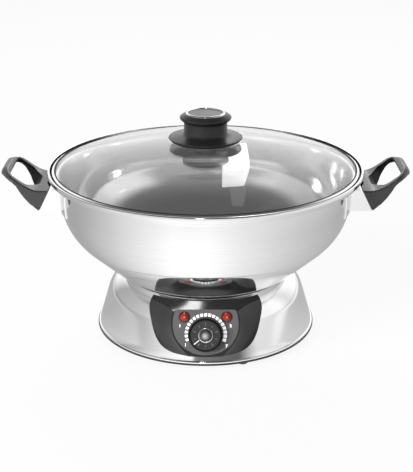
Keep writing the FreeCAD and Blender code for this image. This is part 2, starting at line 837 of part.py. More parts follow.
def heating_element():
    """Sheathed heating rod, bent round in a ring with both ends turned down."""
    section = Part.Face(Part.Wire(Part.Circle(ORIGIN, Vector(0, 1, 0), element_radius).toShape()))
    section.translate(Vector(element_circle, 0, element_level))
    ring = section.revolve(ORIGIN, UP, 360 - 2 * element_gap_angle)
    ends = []
    for angle in (0, 360 - 2 * element_gap_angle):
        knee = Part.makeSphere(element_radius, Vector(element_circle, 0, element_level))
        leg = rod(element_radius, element_level - element_leg, element_level, element_circle)
        ends.append(around(knee.fuse(leg), angle))
    element = ring.fuse(ends[0]).fuse(ends[1])
    return around(element, element_gap_angle - 90)


def element_terminals():
    leg_end = element_level - element_leg
    pin_end = leg_end - terminal_pin
    tab = rod(1.4, pin_end, leg_end - seat_gap)
    tab = tab.fuse(centred_box(0.8, tab_width, pin_end - tab_length, pin_end + 0.5))
    angles = (element_gap_angle - 90, -90 - element_gap_angle)
    return Part.makeCompound(ring_of(tab, element_circle, angles))


def thermal_fuse():
    """Cut-out that lies across the underside of the heat plate."""
    level = bowl_bottom - plate_thickness - fuse_radius - 4 * seat_gap
    start = Vector(-fuse_length / 2, fuse_row, level)
    fuse = Part.makeCylinder(fuse_radius, fuse_length, start, Vector(1, 0, 0))
    for side in (-1, 1):
        lead_start = Vector(side * (fuse_length / 2 - 0.5), fuse_row, level)
        lead = Part.makeCylinder(0.5, fuse_lead, lead_start, Vector(side, 0, 0))
        fuse = fuse.fuse(lead)
    return fuse


def fuse_clip():
    """Spring strap that holds the cut-out against the plate."""
    level = bowl_bottom - plate_thickness - 2 * seat_gap
    foot = fuse_radius + 1.2
    crown = fuse_radius + 0.4
    drop = 2 * fuse_radius + 0.8
    path = [
        (fuse_row - clip_reach, level - 0.6, 0), (fuse_row - foot, level - 0.6, 0.9),
        (fuse_row - crown, level - drop, 1.2), (fuse_row + crown, level - drop, 1.2),
        (fuse_row + foot, level - 0.6, 0.9), (fuse_row + clip_reach, level - 0.6, 0)]
    strap = strip_face(path, 0.5)
    strap = strap.extrude(Vector(0, 5, 0))
    strap.translate(Vector(0, -2.5, 0))
    strap.rotate(ORIGIN, UP, 90)
    return strap


# ================================================================ power inlet
def inlet_frame(shape):
    """Places a shape drawn facing +Z on the back of the base, facing +Y."""
    placed = shape.copy()
    placed.rotate(ORIGIN, Vector(1, 0, 0), -90)
    placed.translate(Vector(0, inlet_face, inlet_height))
    return placed


def rounded_block(width, depth, corner, z0, z1):
    half_w, half_d = width / 2, depth / 2
    corners = [
        (half_w, -half_d, corner), (half_w, half_d, corner),
        (-half_w, half_d, corner), (-half_w, -half_d, corner)]
    block = plan_face(corners).extrude(Vector(0, 0, z1 - z0))
    block.translate(Vector(0, 0, z0))
    return block


def inlet_body_block(grow):
    length = inlet_depth + inlet_back
    width = inlet_body[0] + 2 * grow
    depth = inlet_body[1] + 2 * grow
    return inlet_frame(rounded_block(width, depth, 2.0, -length - grow, 0))


def power_inlet():
    """Recessed socket; its flange is seated on the shell by a saddle of the shell's shape."""
    saddle = inlet_frame(rounded_block(inlet_flange[0], inlet_flange[1], 5.0, -20, 0))
    saddle = saddle.cut(shell_envelope(seat_gap))
    body = inlet_body_block(0).fuse(saddle)
    socket = inlet_frame(rounded_block(inlet_socket[0], inlet_socket[1], 2.5, -inlet_depth, 1))
    body = body.cut(socket)
    for column in (-1, 0, 1):
        slot = centred_box(pin_size[0] + 2 * seat_gap, pin_size[1] + 2 * seat_gap, -REACH, 0)
        slot.translate(Vector(column * pin_pitch, pin_shift(column), 0))
        body = body.cut(inlet_frame(slot))
    return body


def pin_shift(column):
    """The middle pin sits off the line of the outer two."""
    return -2.0 if column == 0 else 2.0


def inlet_pins():
    pins = []
    for column in (-1, 0, 1):
        pin = centred_box(pin_size[0], pin_size[1], -inlet_depth - inlet_back - 8, pin_length - inlet_depth)
        pin.translate(Vector(column * pin_pitch, pin_shift(column), 0))
        pins.append(inlet_frame(pin))
    return Part.makeCompound(pins)


terminal_places = (-terminal_pitch, 0.0, terminal_pitch)


def terminal_block():
    """Block on the cover where the leads of the inlet, thermostat and heater meet."""
    half_length = terminal_pitch * 1.6
    near = terminal_row - terminal_width / 2
    block = box(-half_length, half_length, near, near + terminal_width,
                cover_top + seat_gap, cover_top + terminal_height)
    level = cover_top + terminal_height * 0.36
    for x in terminal_places:
        mouth = Vector(x, near - 1, level)
        block = block.cut(Part.makeCylinder(terminal_hole_radius, terminal_width + 2, mouth, Vector(0, 1, 0)))
        block = block.cut(rod(terminal_hole_radius + 0.3, level, REACH, x, terminal_row))
    return block


def terminal_screws():
    foot = cover_top + terminal_height / 2 + seat_gap
    top = cover_top + terminal_height - 2
    screws = [rod(terminal_hole_radius + 0.1, foot, top, x, terminal_row) for x in terminal_places]
    return Part.makeCompound(screws)


# ================================================================ handles
face_run = Vector(face_foot[0] - face_top[0], 0, face_foot[1] - face_top[1])
face_out = Vector(-face_run.z, 0, face_run.x).normalize()      # out of the face, away from the bowl
face_middle = Vector((face_top[0] + face_foot[0]) / 2, 0, (face_top[1] + face_foot[1]) / 2)


def sweep_point(share, height):
    """Point of the handle's side view, a share of the way from its face towards its tip."""
    return Vector(face_top[0] + share * (handle_tip_radius - face_top[0]), 0, height)


def handle_side_face():
    """Side view of the handle: a wedge that sweeps up from the bowl to a thin bar, longer than the handle."""
    inner_top = Vector(face_top[0], 0, face_top[1])
    inner_foot = Vector(face_foot[0], 0, face_foot[1])
    high = [sweep_point(share, face_top[1] + rise) for share, rise in top_sweep]
    low = [sweep_point(share, face_foot[1] + rise) for share, rise in under_sweep]
    top = Part.BSplineCurve()
    top.interpolate([inner_top] + high)
    under = Part.BSplineCurve()
    under.interpolate(low + [inner_foot])
    end = Part.makeLine(high[-1], low[0])
    face = Part.makeLine(inner_foot, inner_top)
    return closed_face([top.toShape(), end, under.toShape(), face])


def leaning_prism(corners):
    """Prism over a plan at the handle's top level, its walls leaning out from the vertical as they go down."""
    lean = math.radians(handle_lean)
    slope = Vector(-math.sin(lean), 0, math.cos(lean))
    plan = plan_face(corners)
    plan.translate(Vector(0, 0, handle_top_level) - slope * REACH / 4)
    return plan.extrude(slope * REACH / 2)


def handle_screw_place(shape, side):
    """Stands a shape drawn along +Z on the handle's slanted face, pointing into the handle."""
    placed = shape.copy()
    placed.rotate(ORIGIN, Vector(0, 1, 0), math.degrees(math.atan2(face_out.x, face_out.z)))
    placed.translate(face_middle + Vector(0, side * handle_screw_offset, 0))
    return placed


def moulded_edges(body, x_low, x_high, half_width):
    """Edges inside a stretch of the handle that neither lean with its walls nor lie on its slanted face."""
    lean = math.radians(handle_lean)
    chosen = []
    for edge in body.Edges:
        size = edge.BoundBox
        run = edge.Vertexes[-1].Point - edge.Vertexes[0].Point
        upright = size.YLength < seat_gap and abs(run.x * math.cos(lean) + run.z * math.sin(lean)) < seat_gap
        reach = max(abs((end.Point - face_middle).dot(face_out)) for end in edge.Vertexes)
        inside = size.XMin > x_low and size.XMax < x_high and size.YMax < half_width
        if inside and not upright and reach > 2 * seat_gap:
            chosen.append(edge)
    return chosen


def handle():
    """Handle on the +X side."""
    wedge = handle_side_face()
    wedge.translate(Vector(0, -handle_bow_half_width - 5, 0))
    wedge = wedge.extrude(Vector(0, 2 * handle_bow_half_width + 10, 0))
    root = grip_inner - 30
    plan = [
        (root, -handle_half_width, 0),
        (handle_bow_radius, -handle_bow_half_width, 14.0),
        (handle_tip_radius, -handle_tip_half_width, 12.0),
        (handle_tip_radius, handle_tip_half_width, 12.0),
        (handle_bow_radius, handle_bow_half_width, 14.0),
        (root, handle_half_width, 0),
    ]
    body = wedge.common(leaning_prism(plan))
    body = body.makeFillet(handle_edge, moulded_edges(body, 0, REACH, REACH))
    grip_outer = handle_tip_radius - grip_bar
    grip = [
        (grip_inner, -grip_bow_half_width, 12.0),
        (grip_bow_radius, -grip_half_width, 9.0),
        (grip_outer, -grip_half_width, grip_corner),
        (grip_outer, grip_half_width, grip_corner),
        (grip_bow_radius, grip_half_width, 9.0),
        (grip_inner, grip_bow_half_width, 12.0),
    ]
    body = body.cut(leaning_prism(grip))
    hole_edges = moulded_edges(body, face_top[0] + 5, handle_tip_radius + 1.5, grip_half_width + seat_gap)
    body = body.makeFillet(handle_edge, hole_edges)
    body = body.cut(rod(scoop_radius, 0, REACH, scoop_reach - scoop_radius))
    for side in (-1, 1):
        pilot = rod(handle_screw_radius + seat_gap, -1, handle_screw_depth + 0.5)
        body = body.cut(handle_screw_place(pilot, side))
    return body


def handle_bracket():
    """Bent steel bracket on the +X side: end plate, two cheeks and two flanges welded to the bowl."""
    low = face_foot[1]
    high = face_top[1] - 0.5

    def wedge(half_width, setback, z0, z1):
        """Space between the axis and the handle's face, held back from that face."""
        shift = face_out * setback
        top = Vector(face_top[0], 0, face_top[1]) - face_run - shift
        foot = Vector(face_foot[0], 0, face_foot[1]) + face_run - shift
        corners = [(0, foot.z, 0), (foot.x, foot.z, 0), (top.x, top.z, 0), (0, top.z, 0)]
        slab = outline_face(corners)
        slab.translate(Vector(0, -half_width, 0))
        slab = slab.extrude(Vector(0, 2 * half_width, 0))
        return slab.common(box(0, REACH, -half_width, half_width, z0, z1))

    outside = wedge(bracket_half_width, seat_gap, low, high)
    inside = wedge(bracket_half_width - bracket_gauge, seat_gap + bracket_gauge, 0, REACH)
    cheeks = outside.cut(inside).cut(bowl_envelope(seat_gap))
    wall = offset_corners(bowl_wall_path + [(bowl_radius, rim_height, 0)], -seat_gap)
    wrap = turned(strip_face(wall, -bracket_gauge))
    flanges = wrap.common(box(0, REACH, -bracket_wrap, bracket_wrap, low, high))
    flanges = flanges.cut(box(0, REACH, -bracket_half_width + bracket_gauge,
                              bracket_half_width - bracket_gauge, 0, REACH))
    bracket = cheeks.fuse(flanges)
    for side in (-1, 1):
        hole = rod(handle_screw_radius + hole_play, -5, 5)
        bracket = bracket.cut(handle_screw_place(hole, side))
    return bracket.removeSplitter()


def handle_screws():
    """Two screws a side, from inside the bracket into the handle."""
    screws = []
    seat = -seat_gap * 2 - bracket_gauge
    screw = pan_head_screw(handle_screw_radius, handle_screw_depth, seat, 3.6, 2.4)
    for side in (-1, 1):
        placed = handle_screw_place(screw, side)
        screws += [placed, mirrored(placed)]
    return Part.makeCompound(screws)


# ================================================================ lid
def lid_glass():
    outer = Part.makeSphere(dome_radius, Vector(0, 0, dome_apex - dome_radius))
    inner = Part.makeSphere(inner_dome_radius, Vector(0, 0, dome_apex - dome_radius))
    edge = ring_radius - ring_gauge - glass_edge_gap
    disc = tube(edge, glass_hole_radius, ring_bottom - 5, dome_apex + 5)
    return disc.common(outer).cut(inner)


def lid_rim_ring():
    """Steel channel rolled round the edge of the glass."""
    path = [
        (ring_inner_radius, glass_outside(ring_inner_radius) + ring_skin, 0),
        (ring_radius, glass_outside(ring_radius) + ring_skin, 0.9),
        (ring_radius, ring_bottom, 0.9),
        (ring_inner_radius, glass_inside(ring_inner_radius) - ring_skin, 0),
    ]
    return turned(strip_face(path, -ring_gauge))


knob_base = knob_flange_top - knob_flange_gauge
escutcheon_top = knob_base - seat_gap


def lid_knob():
    """Turned handle of the lid: flange, waist, and a cap with a hollow for its inlay."""
    ring_seat = knob_top - 2.2
    section = [
        (0, knob_base, 0),
        (knob_flange_radius - 0.6, knob_base, 0.5),
        (knob_flange_radius, knob_flange_top - 0.3, 0.6),
        (knob_neck_radius + 0.4, knob_foot_height, 2.5),
        (knob_neck_radius, knob_neck_top - 1.5, 1.5),
        (knob_cap_radius - 1.8, knob_neck_top + 1.2, 0.9),
        (knob_cap_radius, knob_cap_height, 1.6),
        (knob_ring_radius + 0.5, knob_top - 0.9, 0.8),
        (knob_ring_radius + seat_gap, ring_seat, 0),
        (0, ring_seat, 0),
    ]
    knob = turned_outline(section)
    return knob.cut(rod(knob_screw_radius + seat_gap, knob_base, knob_base + knob_screw_depth))


def lid_knob_ring():
    seat = knob_top - 2.2 + seat_gap
    section = [
        (knob_ring_radius - knob_ring_width, seat, 0),
        (knob_ring_radius, seat, 0),
        (knob_ring_radius, knob_top - 0.9, 0.8),
        (knob_ring_radius - knob_ring_width + 0.4, knob_top, 0.6),
        (knob_ring_radius - knob_ring_width, knob_top - 0.4, 0),
    ]
    return turned_outline(section)


def lid_knob_inlay():
    seat = knob_top - 2.2 + seat_gap
    radius = knob_ring_radius - knob_ring_width - seat_gap
    top = knob_top - inlay_sink
    section = [(0, seat, 0), (radius, seat, 0), (radius, top, 0.3), (0, top, 0)]
    return turned_outline(section)


def lid_knob_escutcheon():
    """Bright dished washer between the knob and the glass."""
    hole = knob_screw_radius + hole_play
    path = [
        (hole, escutcheon_top, 0),
        (knob_flange_radius - 2.0, escutcheon_top, 1.5),
        (knob_flange_radius - 0.4, escutcheon_top - 1.6, 0),
    ]
    return turned(strip_face(path, -escutcheon_gauge))


def lid_knob_gasket():
    top = escutcheon_top - escutcheon_gauge - seat_gap
    glass = Part.makeSphere(dome_radius + seat_gap, Vector(0, 0, dome_apex - dome_radius))
    washer = tube(gasket_radius, knob_screw_radius + hole_play, dome_apex - 2, top).cut(glass)
    sleeve = tube(glass_hole_radius - hole_play, knob_screw_radius + hole_play,
                  dome_apex - glass_gauge + 1, top)
    return washer.fuse(sleeve)


inner_gasket_bottom = dome_apex - glass_gauge - gasket_gauge - 0.4


def lid_knob_inner_gasket():
    ring = tube(gasket_radius, knob_screw_radius + hole_play, inner_gasket_bottom, dome_apex)
    glass = Part.makeSphere(inner_dome_radius - seat_gap, Vector(0, 0, dome_apex - dome_radius))
    return ring.common(glass)


def lid_knob_washer():
    top = inner_gasket_bottom - seat_gap
    return tube(washer_radius, knob_screw_radius + hole_play, top - 1.2, top)


def lid_knob_screw():
    seat = inner_gasket_bottom - 1.2 - 2 * seat_gap
    return pan_head_screw(knob_screw_radius, knob_base + knob_screw_depth - 1, seat, 5.0, 3.0)


# ================================================================ all the pieces
right_handle = handle()
right_bracket = handle_bracket()
pieces = {
    "pot_bowl": pot_bowl(),
    "bowl_studs": bowl_studs(),
    "stud_nuts": stud_nuts(),
    "heat_plate": heat_plate(),
    "heating_element": heating_element(),
    "element_terminals": element_terminals(),
    "thermal_fuse": thermal_fuse(),
    "fuse_clip": fuse_clip(),
    "handle_right": right_handle,
    "handle_left": mirrored(right_handle),
    "handle_bracket_right": right_bracket,
    "handle_bracket_left": mirrored(right_bracket),
    "handle_screws": handle_screws(),
    "base_shell": base_shell(),
    "base_trim_ring": base_trim_ring(),
    "bottom_cover": bottom_cover(),
    "base_lugs": base_lugs(),
    "cover_screws": cover_screws(),
    "rubber_feet": rubber_feet(),
    "foot_screws": foot_screws(),
    "panel_housing": panel_housing(),
    "panel_plate": panel_plate(),
    "power_lens": lens_at(-1),
    "heat_lens": lens_at(1),
    "indicator_lamps": indicator_lamps(),
    "dial_knob": dial_knob(),
    "dial_ring": dial_ring(),
    "dial_nub": dial_nub(),
    "thermostat_shaft": thermostat_shaft(),
    "thermostat_body": thermostat_body(),
    "thermostat_nut": thermostat_nut(),
    "thermostat_bracket": thermostat_bracket(),
    "bracket_screws": bracket_screws(),
    "power_inlet": power_inlet(),
    "inlet_pins": inlet_pins(),
    "terminal_block": terminal_block(),
    "terminal_screws": terminal_screws(),
    "lid_glass": lid_glass(),
    "lid_rim_ring": lid_rim_ring(),
    "lid_knob": lid_knob(),
    "lid_knob_ring": lid_knob_ring(),
    "lid_knob_inlay": lid_knob_inlay(),
    "lid_knob_escutcheon": lid_knob_escutcheon(),
    "lid_knob_gasket": lid_knob_gasket(),
    "lid_knob_inner_gasket": lid_knob_inner_gasket(),
    "lid_knob_washer": lid_knob_washer(),
    "lid_knob_screw": lid_knob_screw(),
}
for name, shape in pieces.items():
    save(shape, name)
    print(name, len(shape.Solids), round(shape.Volume), shape.isValid())
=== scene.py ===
# %% [markdown]
# # Dressing an electric hot pot
# The construction of this pot is finished: it comes as a set of solid nodes that stay where they are.
# This lesson gives it its looks. It sets up a camera and a small studio, makes one finish for every kind
# of material, and models the pieces whose shine or detail needs a mesh of its own.
# The frame is loaded first, because every later step takes its sizes from it.

# %% Load the frame
import json
import math

import bmesh
import bpy
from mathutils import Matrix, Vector

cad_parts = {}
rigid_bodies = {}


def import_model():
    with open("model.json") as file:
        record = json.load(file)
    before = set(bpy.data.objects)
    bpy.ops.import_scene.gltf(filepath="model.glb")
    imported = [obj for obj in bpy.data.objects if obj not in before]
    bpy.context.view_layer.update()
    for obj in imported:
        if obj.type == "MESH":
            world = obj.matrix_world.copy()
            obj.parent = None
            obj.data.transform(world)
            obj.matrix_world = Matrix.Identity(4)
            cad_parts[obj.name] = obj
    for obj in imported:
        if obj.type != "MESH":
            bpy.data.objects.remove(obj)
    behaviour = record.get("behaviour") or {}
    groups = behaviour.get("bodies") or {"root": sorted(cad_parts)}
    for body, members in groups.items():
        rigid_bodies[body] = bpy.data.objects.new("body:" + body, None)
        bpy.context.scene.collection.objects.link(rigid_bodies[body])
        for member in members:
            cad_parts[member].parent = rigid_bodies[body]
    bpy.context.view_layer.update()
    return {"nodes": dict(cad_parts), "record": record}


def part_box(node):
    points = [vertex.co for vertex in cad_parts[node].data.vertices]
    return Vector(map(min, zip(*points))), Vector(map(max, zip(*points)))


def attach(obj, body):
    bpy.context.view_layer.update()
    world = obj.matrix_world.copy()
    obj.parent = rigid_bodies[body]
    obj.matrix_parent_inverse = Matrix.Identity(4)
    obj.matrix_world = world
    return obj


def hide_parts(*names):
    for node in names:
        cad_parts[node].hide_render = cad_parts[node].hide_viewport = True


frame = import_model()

MM = 0.001
nodes = frame["nodes"]

# %% [markdown]
# ## Camera
# The pot is seen from the front and from a little above, with a long lens, so its circles become calm
# ellipses. The lens is worked out from the focal length in pixels and the height of the render.

# %% Camera
RENDER_WIDTH = 413
RENDER_HEIGHT = 472
FOCAL_PIXELS = 1118
AXIS_COLUMN = 205.6
SENSOR = 36.0
CAMERA_PLACE = (0.0, -1.091, 0.510)
CAMERA_DIP = 20.65

camera_data = bpy.data.cameras.new("studio_camera")
camera = bpy.data.objects.new("studio_camera", camera_data)
bpy.context.scene.collection.objects.link(camera)
bpy.context.scene.camera = camera
camera_data.sensor_width = SENSOR
camera_data.lens = FOCAL_PIXELS / RENDER_HEIGHT * SENSOR
camera_data.shift_x = (RENDER_WIDTH / 2 - AXIS_COLUMN) / RENDER_HEIGHT
camera.location = CAMERA_PLACE
camera.rotation_euler = (math.radians(90 - CAMERA_DIP), 0, 0)
bpy.context.scene.view_settings.view_transform = "Standard"
print("lens in mm:", round(camera_data.lens, 2))

# %% [markdown]
# ## Node trees
# The room, the floor and the finishes are all node trees. Each could be put together node by node, but the
# same small groups come back everywhere: a sum, a soft step, a mix. So each group gets a helper.

# %% Helpers for node trees
def tools(owner):
    """Three helpers for a material or the world: add a node, link or set a socket, and compute a value."""
    owner.use_nodes = True

    def add(kind, **settings):
        made = owner.node_tree.nodes.new("ShaderNode" + kind)
        for name, value in settings.items():
            setattr(made, name, value)
        return made

    def link(source, socket):
        if isinstance(source, bpy.types.NodeSocket):
            owner.node_tree.links.new(source, socket)
        else:
            socket.default_value = source

    def compute(operation, *terms, kind="Math", result="Value"):
        made = add(kind, operation=operation)
        for term, socket in zip(terms, made.inputs):
            link(term, socket)
        return made.outputs[result]
    return add, link, compute


def opened(material):
    """What is needed to change a material: the three helpers and its Principled shader."""
    return *tools(material), material.node_tree.nodes["Principled BSDF"]


def parts_of(add, link, vector):
    """The X, Y and Z of a vector, as sockets."""
    split = add("SeparateXYZ")
    link(vector, split.inputs[0])
    return split.outputs


def smooth_step(add, link, value, low, high):
    """0 below low, 1 above high, with a soft change between."""
    made = add("MapRange", interpolation_type="SMOOTHSTEP")
    for source, socket in zip((value, low, high), made.inputs):
        link(source, socket)
    return made.outputs[0]


def between(compute, share, first, second):
    """A number that goes from the first to the second as the share goes from 0 to 1."""
    return compute("MULTIPLY_ADD", share, second - first, first)


def mixed(add, link, share, first, second, kind="FLOAT", way="MIX"):
    """Mix node; the share and both ends are sockets, numbers or colours."""
    made = add("Mix", data_type=kind, blend_type=way)
    for source, name in ((share, "Factor"), (first, "A"), (second, "B")):
        link(source, made.inputs[name])
    return made.outputs["Result"]


# %% [markdown]
# ## Room
# Polished steel has almost no colour of its own: it shows the room. So the room is designed with care.
# Straight rays, and rays that only crossed glass, see plain white. All others see a room: a horizon whose
# brightness changes all the way round, a darker place behind the camera, and a ceiling.
# A flat grey room would make the pot look like plastic, and one or two bright lamps would only add spots.

# %% Brightness round the pot
def round_the_pot(add, link, compute, direction, stops):
    """Brightness by compass angle: 0 is the camera's side and positive is to its right.
    A stop is (degrees, brightness)."""
    parts = parts_of(add, link, direction)
    angle = compute("ARCTAN2", parts["X"], compute("MULTIPLY", parts["Y"], -1))
    share = compute("ADD", compute("DIVIDE", angle, 2 * math.pi), 0.5)
    ramp = add("ValToRGB")
    marks = ramp.color_ramp.elements
    while len(marks) < len(stops):
        marks.new(0.5)
    for mark, (degrees, brightness) in zip(marks, stops):
        mark.position = degrees / 360 + 0.5
        mark.color = (brightness / 2,) * 3 + (1,)
    link(share, ramp.inputs[0])
    return compute("MULTIPLY", ramp.outputs[0], 2)


def unbounced(add, compute):
    """1 for rays that come straight from the camera or only crossed glass, 0 for all others."""
    path = add("LightPath").outputs
    metal_free = compute("LESS_THAN", path["Glossy Depth"], 0.5)
    crossed = compute("MULTIPLY", path["Is Transmission Ray"], metal_free)
    return compute("MAXIMUM", path["Is Camera Ray"], crossed), path


# %% Room
HORIZON_STOPS = [
    (-180, 1.40), (-150, 1.15), (-128, 0.42), (-98, 0.50), (-72, 0.62), (-45, 0.95), (-14, 1.20), (-11, 0.20),
    (35, 0.12), (55, 0.95), (95, 1.08), (112, 0.78), (145, 1.25), (180, 1.40)]
HORIZON_SHADE = 0.72
HORIZON_LINE = (-0.02, 0.13)
CEILING_LIGHT = 0.13
CEILING_LINE = (0.54, 0.78)
FRONT_DARK = 0.16
FRONT_SIDES = (0.35, 0.80)
FRONT_RISE = (0.16, 0.30)

world = bpy.data.worlds.new("studio_world")
bpy.context.scene.world = world
add, link, compute = tools(world)
direction = add("TexCoord").outputs["Generated"]
horizon = round_the_pot(add, link, compute, direction, HORIZON_STOPS)
parts = parts_of(add, link, direction)
above_line = smooth_step(add, link, parts["Z"], *HORIZON_LINE)
low_shade = between(compute, above_line, HORIZON_SHADE, 1)
up_share = smooth_step(add, link, parts["Z"], *CEILING_LINE)
room = mixed(add, link, up_share, compute("MULTIPLY", horizon, low_shade), CEILING_LIGHT)
forward = smooth_step(add, link, compute("MULTIPLY", parts["Y"], -1), *FRONT_SIDES)
dark_share = compute("MULTIPLY", forward, smooth_step(add, link, parts["Z"], *FRONT_RISE))
room = mixed(add, link, dark_share, room, FRONT_DARK)
backdrop = mixed(add, link, unbounced(add, compute)[0], room, 1.0)
link(backdrop, world.node_tree.nodes["Background"].inputs["Color"])
print("horizon stops:", len(HORIZON_STOPS))

# %% [markdown]
# ## Floor
# The pot stands on pale paper. A straight look sees it nearly white, with the pot's soft shadow on it.
# The steel sees it as real paper is, lighter towards the lamps and darker beside them. A plain white floor
# would fill the underside of the bowl with one flat tone.

# %% Floor
FLOOR_SIZE = 8.0
FLOOR_SHADOW = 0.10
PAPER = (0.86, 0.86, 0.86, 1)
PAPER_ROUGHNESS = 0.9
NEAR_STOPS = [
    (-180, 0.45), (-106, 0.47), (-90, 0.56), (-67, 0.76), (-48, 0.98), (-22, 1.30), (2, 1.30), (26, 1.03),
    (52, 0.82), (73, 0.69), (113, 0.52), (180, 0.45)]
FAR_STOPS = [(-180, 1.00), (-125, 0.60), (-84, 0.60), (-62, 0.92), (60, 1.00), (180, 1.00)]
FAR_START = (0.48, 0.80)

bpy.ops.mesh.primitive_plane_add(size=FLOOR_SIZE, location=(0, 0, 0))
floor = bpy.context.object
floor.name = "floor"
paper = bpy.data.materials.new("pale_paper")
add, link, compute, shader = opened(paper)
shader.inputs["Base Color"].default_value = PAPER
shader.inputs["Roughness"].default_value = PAPER_ROUGHNESS
place = add("TexCoord").outputs["Object"]
near_glow, far_glow = [round_the_pot(add, link, compute, place, stops) for stops in (NEAR_STOPS, FAR_STOPS)]
far_share = smooth_step(add, link, compute("LENGTH", place, kind="VectorMath"), *FAR_START)
straight, path = unbounced(add, compute)
glow = add("Emission")
glow.inputs["Color"].default_value = (1, 1, 1, 1)
paper_glow = mixed(add, link, far_share, near_glow, far_glow)
link(mixed(add, link, straight, paper_glow, 1.0), glow.inputs["Strength"])
bounced = compute("GREATER_THAN", path["Glossy Depth"], 0.5)
glow_share = compute("MAXIMUM", compute("MULTIPLY", straight, 1 - FLOOR_SHADOW), bounced)
paper_mix = add("MixShader")
for source, socket in zip((glow_share, shader.outputs[0], glow.outputs[0]), paper_mix.inputs):
    link(source, socket)
link(paper_mix.outputs[0], paper.node_tree.nodes["Material Output"].inputs["Surface"])
floor.data.materials.append(paper)
print("floor in m:", FLOOR_SIZE)

# %% [markdown]
# ## Lamps and windows
# Four large soft lamps light the matt and black pieces, but they are hidden from mirror rays: their square
# shapes would show all over the steel. Four glowing panels light nothing and only show as images. Two stand
# behind the pot, and the brighter one is six-sided, as a window seen at a slant is. Its image lies on the
# lid's glass beside the knob. The third makes the streak on the shelf above the dial. The fourth is seen
# only through the glass, as the bright patch that a window leaves inside the bowl.

# %% Lamps
POT_MIDDLE = (0, 0, 0.12)


def softbox(name, place, width, height, power):
    """Rectangular soft light that points at the pot. Mirrors don't show it."""
    light = bpy.data.lights.new(name, "AREA")
    light.shape = "RECTANGLE"
    light.size = width
    light.size_y = height
    light.energy = power
    lamp = bpy.data.objects.new(name, light)
    lamp.location = place
    lamp.rotation_euler = (Vector(POT_MIDDLE) - Vector(place)).to_track_quat("-Z", "Y").to_euler()
    lamp.visible_glossy = False
    lamp.visible_transmission = False
    bpy.context.scene.collection.objects.link(lamp)
    print(name, "watts:", power)


softbox("front_left_light", (-1.1, -1.5, 1.5), 1.0, 1.0, 25)
softbox("left_low_light", (-1.5, -1.2, 0.35), 0.7, 0.6, 44)
softbox("right_light", (1.7, -0.6, 1.3), 0.7, 1.2, 3)
softbox("back_light", (0.2, 1.7, 1.6), 1.6, 0.8, 16)


# %% Windows
def window(name, depth, outline, brightness, inside=False):
    """Glowing upright panel at a depth behind the pot's axis; its outline is (side, height) in metres.
    Only mirrors see it, or, with inside, only what lies behind the lid's glass."""
    bpy.ops.object.select_all(action="DESELECT")
    bpy.ops.mesh.primitive_circle_add(vertices=len(outline), radius=0.5, fill_type="NGON", location=(0, 0, 0))
    panel = bpy.context.object
    panel.name = name
    for vertex, (side, height) in zip(panel.data.vertices, outline):
        vertex.co = (side, depth, height)
    glass_glow = bpy.data.materials.new(name + "_glow")
    add, link, _ = tools(glass_glow)
    light = add("Emission")
    light.inputs["Strength"].default_value = brightness
    link(light.outputs[0], glass_glow.node_tree.nodes["Material Output"].inputs["Surface"])
    panel.data.materials.append(glass_glow)
    panel.visible_camera = False
    panel.visible_diffuse = False
    panel.visible_shadow = False
    panel.visible_glossy = not inside
    panel.visible_transmission = inside
    print(name, "brightness:", brightness)


BACK, SHELF_FRONT, BOWL_FRONT = 2.0, -1.29, -1.8
SLANTED = [(0.125, 0.889), (0.209, 0.729), (0.325, 1.522), (0.355, 2.129), (0.155, 2.246), (0.110, 1.255)]
SHELF_STREAK = [(-0.125, 0.62), (-0.030, 0.62), (-0.030, 1.20), (-0.125, 1.20)]
FAINT = [(0.222, 2.22), (0.380, 2.16), (0.440, 2.90), (0.310, 2.94)]
BOWL_PATCH = [(-1.12, 0.42), (-0.70, 0.42), (-0.62, 0.66), (-0.78, 0.86), (-1.10, 0.80)]
window("slanted_window", BACK, SLANTED, 6.5)
window("shelf_window", SHELF_FRONT, SHELF_STREAK, 11.0)
window("faint_window", BACK, FAINT, 0.9)
window("front_window", BOWL_FRONT, BOWL_PATCH, 10.0, inside=True)

# %% [markdown]
# ## Finishes
# Each finish is a small node tree on the Principled shader. One noise pattern in Object coordinates
# drives the colour, the roughness and a faint relief together, as grain does on a real surface.
# Sheet metal that was spun on a lathe has its grain in rings, so its pattern is read along the radius.
# A flat colour with one roughness would be quicker, but it looks like a toy as soon as light crosses it.

# %% One finish
NOISE_DETAIL = 5
COLOUR_SPREAD = (0.3, 0.7)


def grey(value):
    return (value, value, value)


def rings(add, link, compute, coordinates):
    """Coordinates that only change with the distance from the Z axis and with height."""
    parts = parts_of(add, link, coordinates)
    flat, joined = add("CombineXYZ"), add("CombineXYZ")
    link(parts["X"], flat.inputs["X"])
    link(parts["Y"], flat.inputs["Y"])
    link(compute("LENGTH", flat.outputs[0], kind="VectorMath"), joined.inputs["X"])
    link(parts["Z"], joined.inputs["Z"])
    return joined.outputs[0]


